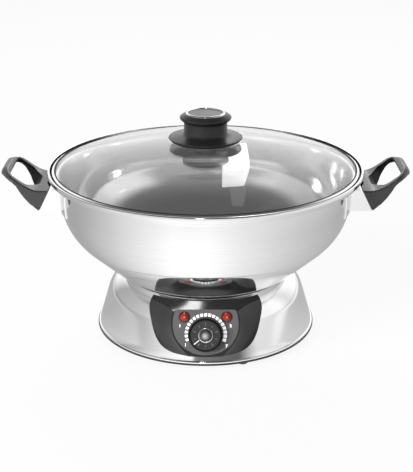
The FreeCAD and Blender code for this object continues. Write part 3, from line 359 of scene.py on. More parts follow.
def finish(name, dark, light, rough, grain, metallic=0.0, relief=0.0, spun=False, stretch=(1, 1, 1), **fixed):
    """Material whose colour, roughness and relief follow one noise pattern; grain and relief are in mm."""
    material = bpy.data.materials.new(name)
    add, link, compute, shader = opened(material)
    coordinates = add("TexCoord").outputs["Object"]
    if spun:
        coordinates = rings(add, link, compute, coordinates)
    mapping = add("Mapping")
    mapping.inputs["Scale"].default_value = stretch
    link(coordinates, mapping.inputs["Vector"])
    noise = add("TexNoise")
    noise.inputs["Scale"].default_value = 1 / (grain * MM)
    noise.inputs["Detail"].default_value = NOISE_DETAIL
    link(mapping.outputs[0], noise.inputs["Vector"])
    colour = add("ValToRGB")
    for end, position, shade in zip(colour.color_ramp.elements, COLOUR_SPREAD, (dark, light)):
        end.position = position
        end.color = shade + (1,)
    link(noise.outputs[0], colour.inputs[0])
    link(colour.outputs[0], shader.inputs["Base Color"])
    roughness = add("MapRange")
    roughness.inputs["To Min"].default_value = rough[0]
    roughness.inputs["To Max"].default_value = rough[1]
    link(noise.outputs[0], roughness.inputs["Value"])
    link(roughness.outputs[0], shader.inputs["Roughness"])
    if relief:
        bump = add("Bump")
        bump.inputs["Strength"].default_value = 1.0
        bump.inputs["Distance"].default_value = relief * MM
        link(noise.outputs[0], bump.inputs["Height"])
        link(bump.outputs[0], shader.inputs["Normal"])
    shader.inputs["Metallic"].default_value = metallic
    for socket, value in fixed.items():
        shader.inputs[socket].default_value = value
    return material


def change_where(add, link, shader, socket, share, value):
    """Takes a linked input of a shader towards a number or a colour, where a mask says so."""
    end, kind = (value, "FLOAT") if isinstance(value, float) else (value + (1,), "RGBA")
    before = shader.inputs[socket].links[0].from_socket
    link(mixed(add, link, share, before, end, kind), shader.inputs[socket])


# %% All finishes by slot
# Dark and light colour, roughness range, grain in mm, metallic, relief in mm, spun, stretch.
RECIPES = {
    "polished_steel": (grey(0.76), grey(0.81), (0.09, 0.13), 0.8, 1.0, 0.0004, True),
    "bright_steel": (grey(0.78), grey(0.84), (0.04, 0.08), 1.5, 1.0, 0.0008, True),
    "zinc_steel": ((0.55, 0.56, 0.57), (0.68, 0.69, 0.70), (0.28, 0.42), 1.5, 1.0, 0.01),
    "heater_steel": ((0.22, 0.21, 0.20), (0.34, 0.32, 0.30), (0.35, 0.5), 2.0, 1.0, 0.01),
    "chrome_trim": (grey(0.80), grey(0.86), (0.03, 0.07), 2.0, 1.0, 0.0005),
    "dark_brushed_steel": (grey(0.04), grey(0.09), (0.30, 0.42), 1.2, 1.0, 0.004, False, (0.06, 1, 1)),
    "cast_aluminium": (grey(0.52), grey(0.62), (0.42, 0.6), 0.8, 1.0, 0.03),
    "brass": ((0.62, 0.45, 0.18), (0.75, 0.56, 0.25), (0.22, 0.34), 1.5, 1.0, 0.004),
    "clear_glass": (grey(0.985), grey(1.0), (0.0, 0.006), 30.0),
    "black_phenolic": (grey(0.010), grey(0.020), (0.26, 0.38), 0.7, 0.0, 0.006),
    "black_plastic": (grey(0.012), grey(0.021), (0.24, 0.34), 0.6, 0.0, 0.003),
    "grey_plastic": (grey(0.085), grey(0.135), (0.38, 0.5), 0.35, 0.0, 0.010),
    "red_lens": ((0.60, 0.02, 0.01), (0.85, 0.07, 0.03), (0.05, 0.10), 1.5),
    "white_ceramic": (grey(0.72), grey(0.80), (0.35, 0.5), 1.0, 0.0, 0.01),
    "black_rubber": (grey(0.014), grey(0.024), (0.6, 0.75), 0.5, 0.0, 0.01),
    "silicone": (grey(0.55), grey(0.62), (0.4, 0.5), 1.0, 0.0, 0.004),
}
FIXED = {
    "clear_glass": {"Transmission Weight": 1.0, "IOR": 1.5},
    "black_phenolic": {"Specular IOR Level": 0.38},
    "red_lens": {"Transmission Weight": 0.4},
}
FINISHES = {name: finish(name, *recipe, **FIXED.get(name, {})) for name, recipe in RECIPES.items()}
print("finishes:", len(FINISHES))


# %% Dress the nodes that keep their own mesh
def dress(piece, material):
    """Gives a piece one material."""
    piece.data.materials.clear()
    piece.data.materials.append(material)


slot_of = {entry["node"]: entry["material_slot"] for entry in frame["record"]["subparts"]}
for name, node in nodes.items():
    dress(node, FINISHES[slot_of[name]])
print("dressed:", len(slot_of))

# %% [markdown]
# ## Turned pieces
# Bowl, bell, lid and knob are all round, because they are spun or turned on a lathe in the factory.
# They could be put together from cylinders and cones, but then every bend would be a hard corner.
# So each one is drawn as half a section: corners with a bend radius, as a metal spinner would draw them.
# The section is extruded point by point from a single vertex, and the Spin operator sweeps it round.

# %% Section points
WIDE_BEND = 5.0
WIDE_STEP, TIGHT_STEP = 2.5, 15
LONGEST_RUN = 6.0


def section_line(corners):
    """Points along straight runs joined by tangent bends. A corner is (radius, height, bend), in mm."""
    points = [Vector(corner[:2]) for corner in corners]
    line = [points[0]]
    for before, here, after, corner in zip(points, points[1:], points[2:], corners[1:]):
        bend = corner[2]
        if bend == 0:
            line.append(here)
            continue
        arriving = (here - before).normalized()
        leaving = (after - here).normalized()
        turn = math.atan2(arriving.x * leaving.y - arriving.y * leaving.x, arriving.dot(leaving))
        start = here - arriving * bend * math.tan(abs(turn) / 2)
        centre = start + Vector((-arriving.y, arriving.x)) * math.copysign(bend, turn)
        arm = start - centre
        steps = max(3, math.ceil(abs(math.degrees(turn)) / (WIDE_STEP if bend > WIDE_BEND else TIGHT_STEP)))
        for step in range(steps + 1):
            swing = turn * step / steps
            turned_arm = Vector((arm.x * math.cos(swing) - arm.y * math.sin(swing),
                                 arm.x * math.sin(swing) + arm.y * math.cos(swing)))
            line.append(centre + turned_arm)
    line.append(points[-1])
    return line


def spaced(line):
    """The same line with extra points on its long runs, which keeps reflections even."""
    dense = [line[0]]
    for start, end in zip(line, line[1:]):
        pieces = max(1, math.ceil((end - start).length / LONGEST_RUN))
        dense += [start.lerp(end, step / pieces) for step in range(1, pieces + 1)]
    return dense


def beside(corners, gauge):
    """The same corners moved sideways by a gauge, to the left of the path."""
    runs = [(Vector(b[:2]) - Vector(a[:2])).normalized() for a, b in zip(corners, corners[1:])]
    runs = [runs[0]] + runs + [runs[-1]]
    moved = []
    for (radius, height, bend), arriving, leaving in zip(corners, runs, runs[1:]):
        share = gauge / (1 + arriving.dot(leaving))
        turn = arriving.x * leaving.y - arriving.y * leaving.x
        new_bend = bend - math.copysign(gauge, turn) if bend else 0
        new_radius = radius - (arriving.y + leaving.y) * share
        new_height = height + (arriving.x + leaving.x) * share
        moved.append((new_radius, new_height, new_bend))
    return moved


def solid_section(corners):
    """Section of a solid: its outline, back to where it starts unless both ends are on the axis."""
    goes_back = corners[0][0] > 0 or corners[-1][0] > 0
    return spaced(section_line(corners + corners[:1] if goes_back else corners))


def sheet_section(corners, gauge):
    """Section of sheet metal: out along one face, back along the other."""
    face = spaced(section_line(corners))
    section = face + spaced(section_line(beside(corners, gauge)))[::-1]
    if corners[0][0] > 0:
        section.append(face[0])
    return section


# %% Spin a section
ROUND_STEPS = 192
MERGE = 0.00001
SMOOTH_ANGLE = 35


def edit_all():
    """Enters edit mode with everything selected."""
    bpy.ops.object.mode_set(mode="EDIT")
    bpy.ops.mesh.select_all(action="SELECT")


def start_piece(name):
    """One vertex at the origin, in edit mode: a plane primitive merged to its centre."""
    bpy.ops.object.select_all(action="DESELECT")
    bpy.ops.mesh.primitive_plane_add(size=MM, location=(0, 0, 0))
    piece = bpy.context.object
    piece.name = piece.data.name = name
    edit_all()
    bpy.ops.mesh.merge(type="CENTER")
    return piece


def draw_line(line):
    """Moves the single vertex to the first point and extrudes it along the others, in the XZ plane."""
    bpy.ops.transform.translate(value=(line[0].x * MM, 0, line[0].y * MM))
    for start, end in zip(line, line[1:]):
        move = ((end.x - start.x) * MM, 0, (end.y - start.y) * MM)
        bpy.ops.mesh.extrude_vertices_move(TRANSFORM_OT_translate={"value": move})


def close_up(piece):
    """Merges doubles, points every face outwards and smooths all but the sharp edges."""
    bpy.ops.mesh.select_all(action="SELECT")
    bpy.ops.mesh.remove_doubles(threshold=MERGE)
    bpy.ops.mesh.normals_make_consistent(inside=False)
    bpy.ops.object.mode_set(mode="OBJECT")
    bpy.ops.object.shade_smooth_by_angle(angle=math.radians(SMOOTH_ANGLE))
    return piece


def turned(name, section, steps=ROUND_STEPS):
    """A section, in mm, spun once round the Z axis."""
    piece = start_piece(name)
    draw_line(section)
    bpy.ops.mesh.select_all(action="SELECT")
    bpy.ops.mesh.spin(steps=steps, angle=2 * math.pi, center=(0, 0, 0), axis=(0, 0, 1))
    return close_up(piece)


def settle(piece, body, slot, *stands_for, material=None):
    """Gives a finished piece its finish, its body and the nodes it stands for."""
    dress(piece, material or FINISHES[slot])
    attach(piece, body)
    if stands_for:
        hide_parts(*stands_for)
    print(piece.name, "faces:", len(piece.data.polygons))


def box_mm(node):
    low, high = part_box(node)
    return low / MM, high / MM


# %% [markdown]
# ## Bowl
# The real bowl is one disc of stainless steel, spun over a form, with its edge rolled into a hollow bead.
# Inside the bead it steps down to a narrow ledge that carries the lid.
# A Solidify modifier could thicken a single face, but here both faces of the sheet are drawn, because the
# tight bends of the bead need their own radii inside and outside.

# %% Bowl
bowl_low, bowl_high = box_mm("pot_bowl")
channel_low, channel_high = box_mm("lid_rim_ring")
SHEET = 0.8
BOWL_FLOOR, FLOOR_BEND = 85.4, 42.8
BOWL_WALL, WALL_FOOT, WALL_BEND = 148.0, 119.4, 63.5
BEAD_DEPTH, BEAD_TURN = 4.0, 1.4
RIM_RADIUS = bowl_high.x
RIM_HEIGHT = bowl_high.z
SEAT_RADIUS = channel_high.x + 1.6
LEDGE = channel_low.z - 0.3
bowl_corners = [
    (0, bowl_low.z, 0), (BOWL_FLOOR, bowl_low.z, FLOOR_BEND), (BOWL_WALL, WALL_FOOT, WALL_BEND),
    (BOWL_WALL, LEDGE - SHEET, 1.2), (SEAT_RADIUS + SHEET, LEDGE - SHEET, 1.4),
    (SEAT_RADIUS + SHEET, RIM_HEIGHT - SHEET, 0.5), (RIM_RADIUS - SHEET, RIM_HEIGHT - SHEET, 0.5),
    (RIM_RADIUS - SHEET, RIM_HEIGHT - BEAD_DEPTH, 0.4), (RIM_RADIUS - BEAD_TURN, RIM_HEIGHT - BEAD_DEPTH, 0)]
bowl = turned("steel_bowl", sheet_section(bowl_corners, SHEET))
settle(bowl, "pot", "polished_steel", "pot_bowl")

# %% [markdown]
# ## Dull groove with painted shade
# The narrow groove between the bead and the lid lies in shade, and that shade is painted into the steel as a
# dark band, which is also made rough. A black ring could stand for it, but the real pot has none. So the bowl
# gets its own copy of the polished finish, with that band worked out from the radius and the height. Towards
# the back the light reaches into the groove, so the painted shade fades there.

# %% Rings of painted shade on polished steel
# Where the painted shade fades towards the back, in m along Y: light reaches the far side of the rings.
FAR_SIDE = (0.085, 0.150)
DULL_ROUGHNESS = 0.5


def within(compute, value, least, most):
    """1 where a value lies between two lengths in mm, and 0 elsewhere."""
    above = compute("GREATER_THAN", value, least * MM)
    below = compute("LESS_THAN", value, most * MM)
    return compute("MULTIPLY", above, below)


def ring_mask(compute, parts, inner, outer, low, high):
    """1 between two radii round the Z axis and two heights, in mm, and 0 elsewhere."""
    radius = compute("SQRT", compute("ADD", *[compute("POWER", parts[axis], 2.0) for axis in "XY"]))
    radial = within(compute, radius, inner, outer)
    level = within(compute, parts["Z"], low, high)
    return compute("MULTIPLY", radial, level)


def with_painted_shade_rings(slot, name, places, shade):
    """Copy of a finish with painted shade and more roughness in rings; a place is (inner, outer, low, high)
    in mm.
    """
    material = FINISHES[slot].copy()
    material.name = name
    add, link, compute, shader = opened(material)
    parts = parts_of(add, link, add("TexCoord").outputs["Object"])
    share = ring_mask(compute, parts, *places[0])
    for place in places[1:]:
        share = compute("MAXIMUM", share, ring_mask(compute, parts, *place))
    far_side = smooth_step(add, link, parts["Y"], *FAR_SIDE)
    share = compute("MULTIPLY", share, compute("SUBTRACT", 1.0, far_side))
    # Painted shade: the base colour goes dark in the rings.
    change_where(add, link, shader, "Base Color", share, grey(shade))
    change_where(add, link, shader, "Roughness", share, DULL_ROUGHNESS)
    return material


# Grey of the painted shade in the groove between the bead and the lid.
GROOVE_PAINTED_SHADE = 0.04
groove_place = (channel_high.x + 0.1, SEAT_RADIUS + 0.4, LEDGE - 0.3, RIM_HEIGHT - 0.3)
dress(bowl, with_painted_shade_rings("polished_steel", "bowl_steel", [groove_place], GROOVE_PAINTED_SHADE))
print("groove in mm:", [round(value, 2) for value in groove_place])

# %% [markdown]
# ## Lid
# The lid is a shallow dome of clear glass in a folded steel channel. Glass needs its true thickness, because
# light bends at both faces: a single sheet would look like a soap film. The channel is sheet metal again.
# Its seam with the glass and its outer wall down in the groove lie in shade, painted dark with the same
# rings.

# %% Lid glass
GLASS_GAUGE = 4.0
GLASS_HOLE = 4.5
DOME_RADIUS = 480.0
DOME_STEPS = 40
glass_high = box_mm("lid_glass")[1]


def dome_height(radius, depth=0.0):
    """Height of the dome's outer face, or of one that lies a depth inside it."""
    centre = glass_high.z - DOME_RADIUS + GLASS_HOLE ** 2 / (2 * DOME_RADIUS)
    return centre + math.sqrt((DOME_RADIUS - depth) ** 2 - radius ** 2)


radii = [GLASS_HOLE + (glass_high.x - GLASS_HOLE) * step / DOME_STEPS for step in range(DOME_STEPS + 1)]
glass_section = [Vector((radius, dome_height(radius))) for radius in radii]
glass_section += [Vector((radius, dome_height(radius, GLASS_GAUGE))) for radius in reversed(radii)]
glass = turned("lid_dome", glass_section + glass_section[:1])
settle(glass, "lid", "clear_glass", "lid_glass")

# %% Lid channel
CHANNEL_SKIN = 0.6
CHANNEL_GAUGE = 0.5
CHANNEL_WIDTH = 3.7
CHANNEL_HEIGHTS = (160, 190)
# Grey of the painted shade at the glass seam and on the outer wall down in the groove.
SEAM_PAINTED_SHADE = 0.03
channel_inner = channel_high.x - CHANNEL_WIDTH
channel_corners = [
    (channel_inner, dome_height(channel_inner) + CHANNEL_SKIN, 0),
    (channel_high.x, dome_height(channel_high.x) + CHANNEL_SKIN, 0.9),
    (channel_high.x, dome_height(channel_high.x, GLASS_GAUGE) - CHANNEL_SKIN, 0.9),
    (channel_inner, dome_height(channel_inner, GLASS_GAUGE) - CHANNEL_SKIN, 0)]
seam_place = (channel_inner - 1, channel_inner + 1.3, *CHANNEL_HEIGHTS)
outer_place = (channel_high.x - 0.3, channel_high.x + 1, CHANNEL_HEIGHTS[0], channel_high.z - 1.4)
channel = turned("lid_channel", sheet_section(channel_corners, -CHANNEL_GAUGE))
channel_steel = with_painted_shade_rings("bright_steel", "channel_steel", [seam_place, outer_place], SEAM_PAINTED_SHADE)
settle(channel, "lid", "bright_steel", "lid_rim_ring", material=channel_steel)

# %% [markdown]
# ## Lid knob
# The knob is moulded in one piece: a thin flange, a waist for the fingers and a wide cap.
# A bright ring and a dark brushed disc sit in its top, and a polished washer shows under the flange.
# The flange is drawn as thin as the real one, with small bends, because its edge catches a line of light.

# %% Knob
knob_low, knob_high = box_mm("lid_knob")
flange = knob_high.x
base = knob_low.z
cap_high = box_mm("lid_knob_ring")[1]
cap = cap_high.x
top = cap_high.z
knob_section = solid_section([
    (0, base, 0), (flange - 0.5, base, 0.35), (flange, base + 0.8, 0.35), (flange - 0.5, base + 1.6, 0.4),
    (23.6, base + 4.2, 3.0), (22.3, base + 5.6, 0.5), (21.9, base + 6.2, 0.4), (21.8, top - 9.6, 1.2),
    (25.0, top - 7.3, 0.8), (25.7, top - 6.4, 0.5), (26.3, top - 4.5, 1.5), (cap + 0.5, top - 0.9, 0.8),
    (cap + 0.05, top - 2.2, 0), (0, top - 2.2, 0)])
settle(turned("knob_body", knob_section), "lid", "black_phenolic", "lid_knob")

# %% Ring and disc in the knob's top
knob_ring_section = solid_section([
    (cap - 2.4, top - 2.1, 0), (cap, top - 2.1, 0), (cap, top - 0.9, 0.6), (cap - 1.1, top, 0.7),
    (cap - 2.1, top - 0.1, 0.3), (cap - 2.4, top - 0.8, 0)])
settle(turned("knob_bright_ring", knob_ring_section), "lid", "chrome_trim", "lid_knob_ring")

disc = cap - 2.45
disc_section = solid_section([
    (0, top - 2.1, 0), (disc, top - 2.1, 0), (disc, top - 0.8, 0.3), (disc - 1.4, top - 0.7, 0.3),
    (disc - 2.0, top - 0.95, 0.3), (0, top - 0.85, 0)])
settle(turned("knob_disc", disc_section), "lid", "dark_brushed_steel", "lid_knob_inlay")

# %% Washer under the knob
WASHER_GAUGE = 0.7
WASHER_HOLE = 2.7
washer_low, washer_high = box_mm("lid_knob_escutcheon")
washer_corners = [
    (WASHER_HOLE, washer_high.z, 0), (washer_high.x - 1.7, washer_high.z, 1.2),
    (washer_high.x - 0.4, washer_low.z + 0.7, 0)]
washer = turned("knob_washer", sheet_section(washer_corners, -WASHER_GAUGE))
settle(washer, "lid", "bright_steel", "lid_knob_escutcheon")

# %% [markdown]
# ## Base
# The bell of the base is spun like the bowl. Behind the control panel and behind the mains inlet the real
# shell is cut open. Those windows are cut here too: the faces behind the panel are deleted in both walls,
# and the two rims are bridged, so that the sheet stays one closed skin. A Boolean would leave slivers there.

# %% Bell of the base
LIP_RISE, LIP_TOP = 2.9, 3.4
FOOT_RADIUS = 111.9
PANEL_WINDOW = (26.0, 21.0, 52.0)
INLET_WINDOW = (15.4, 24.0, 44.0)
bell_low, bell_high = box_mm("base_shell")
LIP = bell_high.x
bell_corners = [
    (LIP, bell_low.z, 0), (LIP, bell_low.z + LIP_RISE, 1.1), (FOOT_RADIUS, bell_low.z + LIP_TOP, 0.3),
    (98.2, 56.8, 34.0), (84.3, 64.4, 0.9), (70.0, 62.2, 0)]
bell = turned("base_bell", sheet_section(bell_corners, SHEET))


def cut_window(piece, half_width, low, high, side):
    """Opens both walls of the bell on one side (-1 front, 1 back) and bridges their rims."""
    bpy.ops.object.mode_set(mode="EDIT")
    bpy.ops.mesh.select_all(action="DESELECT")
    bpy.ops.mesh.select_mode(type="FACE")
    mesh = bmesh.from_edit_mesh(piece.data)
    for face in mesh.faces:
        middle = face.calc_center_median() / MM
        face.select = abs(middle.x) < half_width and low < middle.z < high and middle.y * side > 0
    bmesh.update_edit_mesh(piece.data)
    bpy.ops.mesh.delete(type="FACE")
    bpy.ops.mesh.select_mode(type="EDGE")
    bpy.ops.mesh.select_non_manifold(
        extend=False, use_wire=False, use_multi_face=False, use_non_contiguous=False, use_verts=False)
    bpy.ops.mesh.bridge_edge_loops()
    bpy.ops.mesh.select_mode(type="VERT")
    close_up(piece)


cut_window(bell, *PANEL_WINDOW, -1)
cut_window(bell, *INLET_WINDOW, 1)
# Painted light: the bell's steel is a lighter copy of the bowl's polished steel, to make it show brighter.
bell_steel_painted_lighter = finish("bell_steel_painted_lighter", grey(0.90), grey(0.95), (0.09, 0.13), 0.8, 1.0, 0.0004, spun=True)
settle(bell, "pot", "polished_steel", "base_shell", material=bell_steel_painted_lighter)

# %% [markdown]
# ## Black ring under the lip
# The bell stands on a black moulded ring, which shows as a thin black line round the lip. A plain band
# would hide under the lip, so the ring's section has a small outer flange that also shows from above.

# %% Black ring under the lip
FLANGE_REACH = 0.75
FLANGE_TOP = bell_low.z + 1.3
RIB_RISE = 4.5
SHELF_HEIGHT = 6.3
trim_low = box_mm("base_trim_ring")[0]
trim_top = bell_low.z - 0.05
cover_edge = box_mm("bottom_cover")[1].x
trim_section = solid_section([
    (cover_edge - 1.6, trim_low.z, 0), (cover_edge, trim_low.z, 0.4), (LIP + 0.2, bell_low.z - 0.7, 0.4),
    (LIP + FLANGE_REACH, bell_low.z - 0.3, 0.25), (LIP + FLANGE_REACH, FLANGE_TOP, 0.2),
    (LIP + 0.06, FLANGE_TOP, 0), (LIP + 0.06, trim_top, 0), (cover_edge + 1.3, trim_top, 0),
    (cover_edge + 1.3, trim_top + RIB_RISE, 0.4), (cover_edge + 0.2, trim_top + RIB_RISE, 0),
    (cover_edge + 0.2, SHELF_HEIGHT, 0), (cover_edge - 1.6, SHELF_HEIGHT, 0)])
settle(turned("base_edge_ring", trim_section), "pot", "black_plastic", "base_trim_ring")

# %% [markdown]
# ## Dial
# The face plate leans back. So its small pieces are modelled flat, with the dial's axis on Z, and laid on
# the plate at the end: turned about X, moved out to the dial's centre, and applied into the mesh.
# The dial is a black disc with a bevelled rim, a bright ring and a round black centre. The bevel gets
# painted shade and less shine than the face, and the top of the centre gets a pale painted highlight.

# %% Lay pieces on the panel
PANEL_LEAN = 17.0
PANEL_PLACE = (0, -107.0028 * MM, 37.0 * MM)
print("dial centre in mm:", [round(value / MM, 2) for value in PANEL_PLACE])


def pick(piece):
    """Makes one piece the active one, and the only one that is selected."""
    bpy.ops.object.select_all(action="DESELECT")
    bpy.context.view_layer.objects.active = piece
    piece.select_set(True)


def lay_on_panel(piece):
    """Leans a flat piece back and moves it to the panel, in its mesh."""
    pick(piece)
    piece.rotation_euler = (math.radians(90 - PANEL_LEAN), 0, 0)
    piece.location = PANEL_PLACE
    bpy.ops.object.transform_apply(location=True, rotation=True, scale=True)
    return piece


def shift(piece, side, height, lift=0.0):
    """Moves a piece's mesh sideways, up the panel and out of it, in mm."""
    edit_all()
    bpy.ops.transform.translate(value=(side * MM, height * MM, lift * MM))
    bpy.ops.object.mode_set(mode="OBJECT")
    return piece


def panel_radius(add, link, compute, side=0.0, height=0.0):
    """Distance from an axis that stands on the panel, for a finish. Both sides of the middle are the same."""
    place = add("TexCoord").outputs["Object"]
    offset = compute("SUBTRACT", place, PANEL_PLACE, kind="VectorMath", result="Vector")
    upwards = (0, math.sin(math.radians(PANEL_LEAN)), math.cos(math.radians(PANEL_LEAN)))
    across = compute("SUBTRACT", compute("ABSOLUTE", parts_of(add, link, offset)["X"]), side * MM)
    along = compute("SUBTRACT", compute("DOT_PRODUCT", offset, upwards, kind="VectorMath"), height * MM)
    return compute("SQRT", compute("ADD", compute("POWER", across, 2.0), compute("POWER", along, 2.0)))


# %% Dial disc
DIAL_STEPS = 96
DIAL_RADIUS = 16.7
DIAL_BACK = 0.5
DIAL_FACE = 7.6
BEVEL = (14.0 * MM, 14.8 * MM)
# Grey of the painted shade on the dial's bevel.
BEVEL_PAINTED_SHADE = 0.004
FACE_SPECULAR, BEVEL_SPECULAR = 0.5, 0.15
dial_section = solid_section([
    (0, DIAL_BACK, 0), (DIAL_RADIUS, DIAL_BACK, 0.5), (DIAL_RADIUS, 6.2, 0.9), (15.0, 7.7, 0.3),
    (14.7, 7.2, 0.15), (14.3, 7.2, 0.15), (14.0, DIAL_FACE, 0.3), (8.6, DIAL_FACE, 0), (7.15, 7.5, 0),
    (7.15, 6.5, 0), (0, 6.5, 0)])
dial = turned("dial_disc", dial_section, DIAL_STEPS)
dial_plastic = finish("dial_plastic", grey(0.022), grey(0.036), (0.28, 0.38), 0.5, relief=0.004)
add, link, compute, shader = opened(dial_plastic)
bevel_share = smooth_step(add, link, panel_radius(add, link, compute), *BEVEL)
# Painted shade: the bevel's colour goes darker, and its shine is less.
change_where(add, link, shader, "Base Color", bevel_share, grey(BEVEL_PAINTED_SHADE))
specular = between(compute, bevel_share, FACE_SPECULAR, BEVEL_SPECULAR)
link(specular, shader.inputs["Specular IOR Level"])
settle(lay_on_panel(dial), "dial", "black_plastic", "dial_knob", material=dial_plastic)

# %% Ring and centre of the dial
CENTRE_BACK, CENTRE_EDGE = 6.55, 5.4
BALL_RADIUS, BALL_LIFT, BALL_START, BALL_STEPS = 5.94, 7.15, 24.6, 10
# Pale painted highlight on the top of the dial's centre: full inside 1 mm, gone at 4.6 mm, and its grey.
PAINTED_HIGHLIGHT_SPAN = (4.6 * MM, 1.0 * MM)
PAINTED_HIGHLIGHT_GREY = 0.30
dial_ring_section = solid_section([
    (5.45, CENTRE_BACK, 0), (7.1, CENTRE_BACK, 0), (7.1, 8.5, 0.45), (6.2, 8.6, 0.3), (5.45, 8.2, 0)])
dial_ring = turned("dial_bright_ring", dial_ring_section, DIAL_STEPS)
settle(lay_on_panel(dial_ring), "dial", "chrome_trim", "dial_ring")

centre_section = [Vector((0, CENTRE_BACK)), Vector((CENTRE_EDGE, CENTRE_BACK))]
for step in range(BALL_STEPS + 1):
    angle = math.radians(BALL_START + (90 - BALL_START) * step / BALL_STEPS)
    side = BALL_RADIUS * math.cos(angle) if step < BALL_STEPS else 0
    centre_section.append(Vector((side, BALL_LIFT + BALL_RADIUS * math.sin(angle))))
centre_plastic = finish("nub_plastic", grey(0.02), grey(0.035), (0.30, 0.38), 0.5, relief=0.003)
add, link, compute, shader = opened(centre_plastic)
painted_highlight_share = smooth_step(add, link, panel_radius(add, link, compute), *PAINTED_HIGHLIGHT_SPAN)
# Painted highlight: the centre's top is painted pale.
change_where(add, link, shader, "Base Color", painted_highlight_share, grey(PAINTED_HIGHLIGHT_GREY))
dial_centre = turned("dial_centre", centre_section, DIAL_STEPS)
settle(lay_on_panel(dial_centre), "dial", "black_plastic", "dial_nub", material=centre_plastic)

# %% [markdown]
# ## Handles
# The two handles are moulded in black resin, thick and rounded where the hand holds them, crisp where the
# side faces meet the top. The solid node has the right form but even small edges. So a copy of its mesh is
# rebuilt with an even grid of faces and smoothed step by step towards the outer end.
# A Bevel modifier would need clean long edges, and a Subdivision Surface would lose the crisp creases.

# %% Soft copies of the handles
VOXEL = 0.75
SMOOTHING = 0.5
SOFT_STEPS = ((0.0, 2), (182.0, 6), (187.0, 10), (191.0, 26), (195.0, 30))
TIP_REACH = 7.0
TIP_ROUNDS = 24


def smooth_where(piece, chosen, rounds):
    """In edit mode: smooths the vertices whose place passes a test."""
    mesh = bmesh.from_edit_mesh(piece.data)
    for vertex in mesh.verts:
        vertex.select = chosen(vertex.co)
    mesh.select_flush(True)
    bmesh.update_edit_mesh(piece.data)
    bpy.ops.mesh.vertices_smooth(factor=SMOOTHING, repeat=rounds)


def softened(node, name):
    """Copy of a node's mesh, rebuilt evenly and smoothed more and more with the distance from the middle."""
    piece = bpy.data.objects.new(name, nodes[node].data.copy())
    bpy.context.scene.collection.objects.link(piece)
    piece.matrix_world = nodes[node].matrix_world
    pick(piece)
    bpy.ops.object.transform_apply(location=True, rotation=True, scale=True)
    bpy.ops.mesh.customdata_custom_splitnormals_clear()
    edit_all()
    bpy.ops.mesh.remove_doubles(threshold=MERGE)
    bpy.ops.object.mode_set(mode="OBJECT")
    remesh = piece.modifiers.new("even_grid", "REMESH")
    remesh.mode = "VOXEL"
    remesh.voxel_size = VOXEL * MM
    bpy.ops.object.modifier_apply(modifier="even_grid")
    bpy.ops.object.mode_set(mode="EDIT")
    bpy.ops.mesh.select_mode(type="VERT")
    for reach, rounds in SOFT_STEPS:
        smooth_where(piece, lambda place: abs(place.x) > reach * MM, rounds)
    tip = min(vertex.co.z for vertex in bmesh.from_edit_mesh(piece.data).verts)
    smooth_where(piece, lambda place: place.z < tip + TIP_REACH * MM, TIP_ROUNDS)
    bpy.ops.mesh.select_all(action="SELECT")
    bpy.ops.mesh.normals_make_consistent(inside=False)
    bpy.ops.object.mode_set(mode="OBJECT")
    bpy.ops.object.shade_smooth()
    return piece


handles = {side: softened("handle_" + side, "soft_handle_" + side) for side in ("left", "right")}
print("handles:", len(handles))

# %% [markdown]
# ## Handle resin
# The finger hole's wall sees mostly its own dark far side, so there the resin gets painted shade and less
# shine.
# An Ambient Occlusion node can't tell this wide hole from the open sides, so its place is worked out from
# coordinates. Its walls lean, so the distance from the pot's axis is first carried up to the handle's top.
# The crease between top and side gets a thin painted highlight: a lighter line where the mesh is pointy.

# %% Handle resin
HOLE_LEAN = math.radians(32.0)
HOLE_LEVEL = 176.0
HOLE_NEAR, HOLE_FAR, HOLE_HALF_WIDTH = 158.8, 193.9, 28.7
BOW_HALF_WIDTH, BOW_SLOPE = 12.5, 1.18
EDGE_ROUNDING = 1.0
# Pointiness range of the thin painted highlight on the crease between top and side.
CREASE = (0.53, 0.60)
# Grey of the painted shade on the finger hole's wall, and of the painted highlight on the crease.
CREASE_PAINTED_HIGHLIGHT, HOLE_PAINTED_SHADE = 0.16, 0.003
RESIN_SPECULAR, HOLE_SPECULAR = 0.6, 0.15


def past(add, link, value, limit):
    """0 below a limit in mm, 1 above it, with a change as wide as the moulded edge."""
    return smooth_step(add, link, value, (limit - EDGE_ROUNDING / 2) * MM, (limit + EDGE_ROUNDING / 2) * MM)


handle_resin = finish("handle_resin", grey(0.020), grey(0.034), (0.26, 0.38), 0.7, relief=0.006)
add, link, compute, shader = opened(handle_resin)
parts = parts_of(add, link, add("TexCoord").outputs["Object"])
above_level = compute("SUBTRACT", parts["Z"], HOLE_LEVEL * MM)
outward = compute("MULTIPLY_ADD", above_level, math.tan(HOLE_LEAN), compute("ABSOLUTE", parts["X"]))
across = compute("ABSOLUTE", parts["Y"])
from_near = compute("SUBTRACT", outward, HOLE_NEAR * MM)
past_bow = compute("SUBTRACT", across, compute("MULTIPLY", from_near, BOW_SLOPE))
outside = past(add, link, outward, HOLE_FAR + EDGE_ROUNDING)
for value, limit in ((across, HOLE_HALF_WIDTH), (past_bow, BOW_HALF_WIDTH)):
    outside = compute("MAXIMUM", outside, past(add, link, value, limit + EDGE_ROUNDING))
beyond_near = past(add, link, outward, HOLE_NEAR - EDGE_ROUNDING)
hole_share = compute("MULTIPLY", beyond_near, compute("SUBTRACT", 1.0, outside))
# Painted highlight: a lighter line on the crease, where the mesh is pointy.
crease_highlight_share = smooth_step(add, link, add("NewGeometry").outputs["Pointiness"], *CREASE)
change_where(add, link, shader, "Base Color", crease_highlight_share, grey(CREASE_PAINTED_HIGHLIGHT))
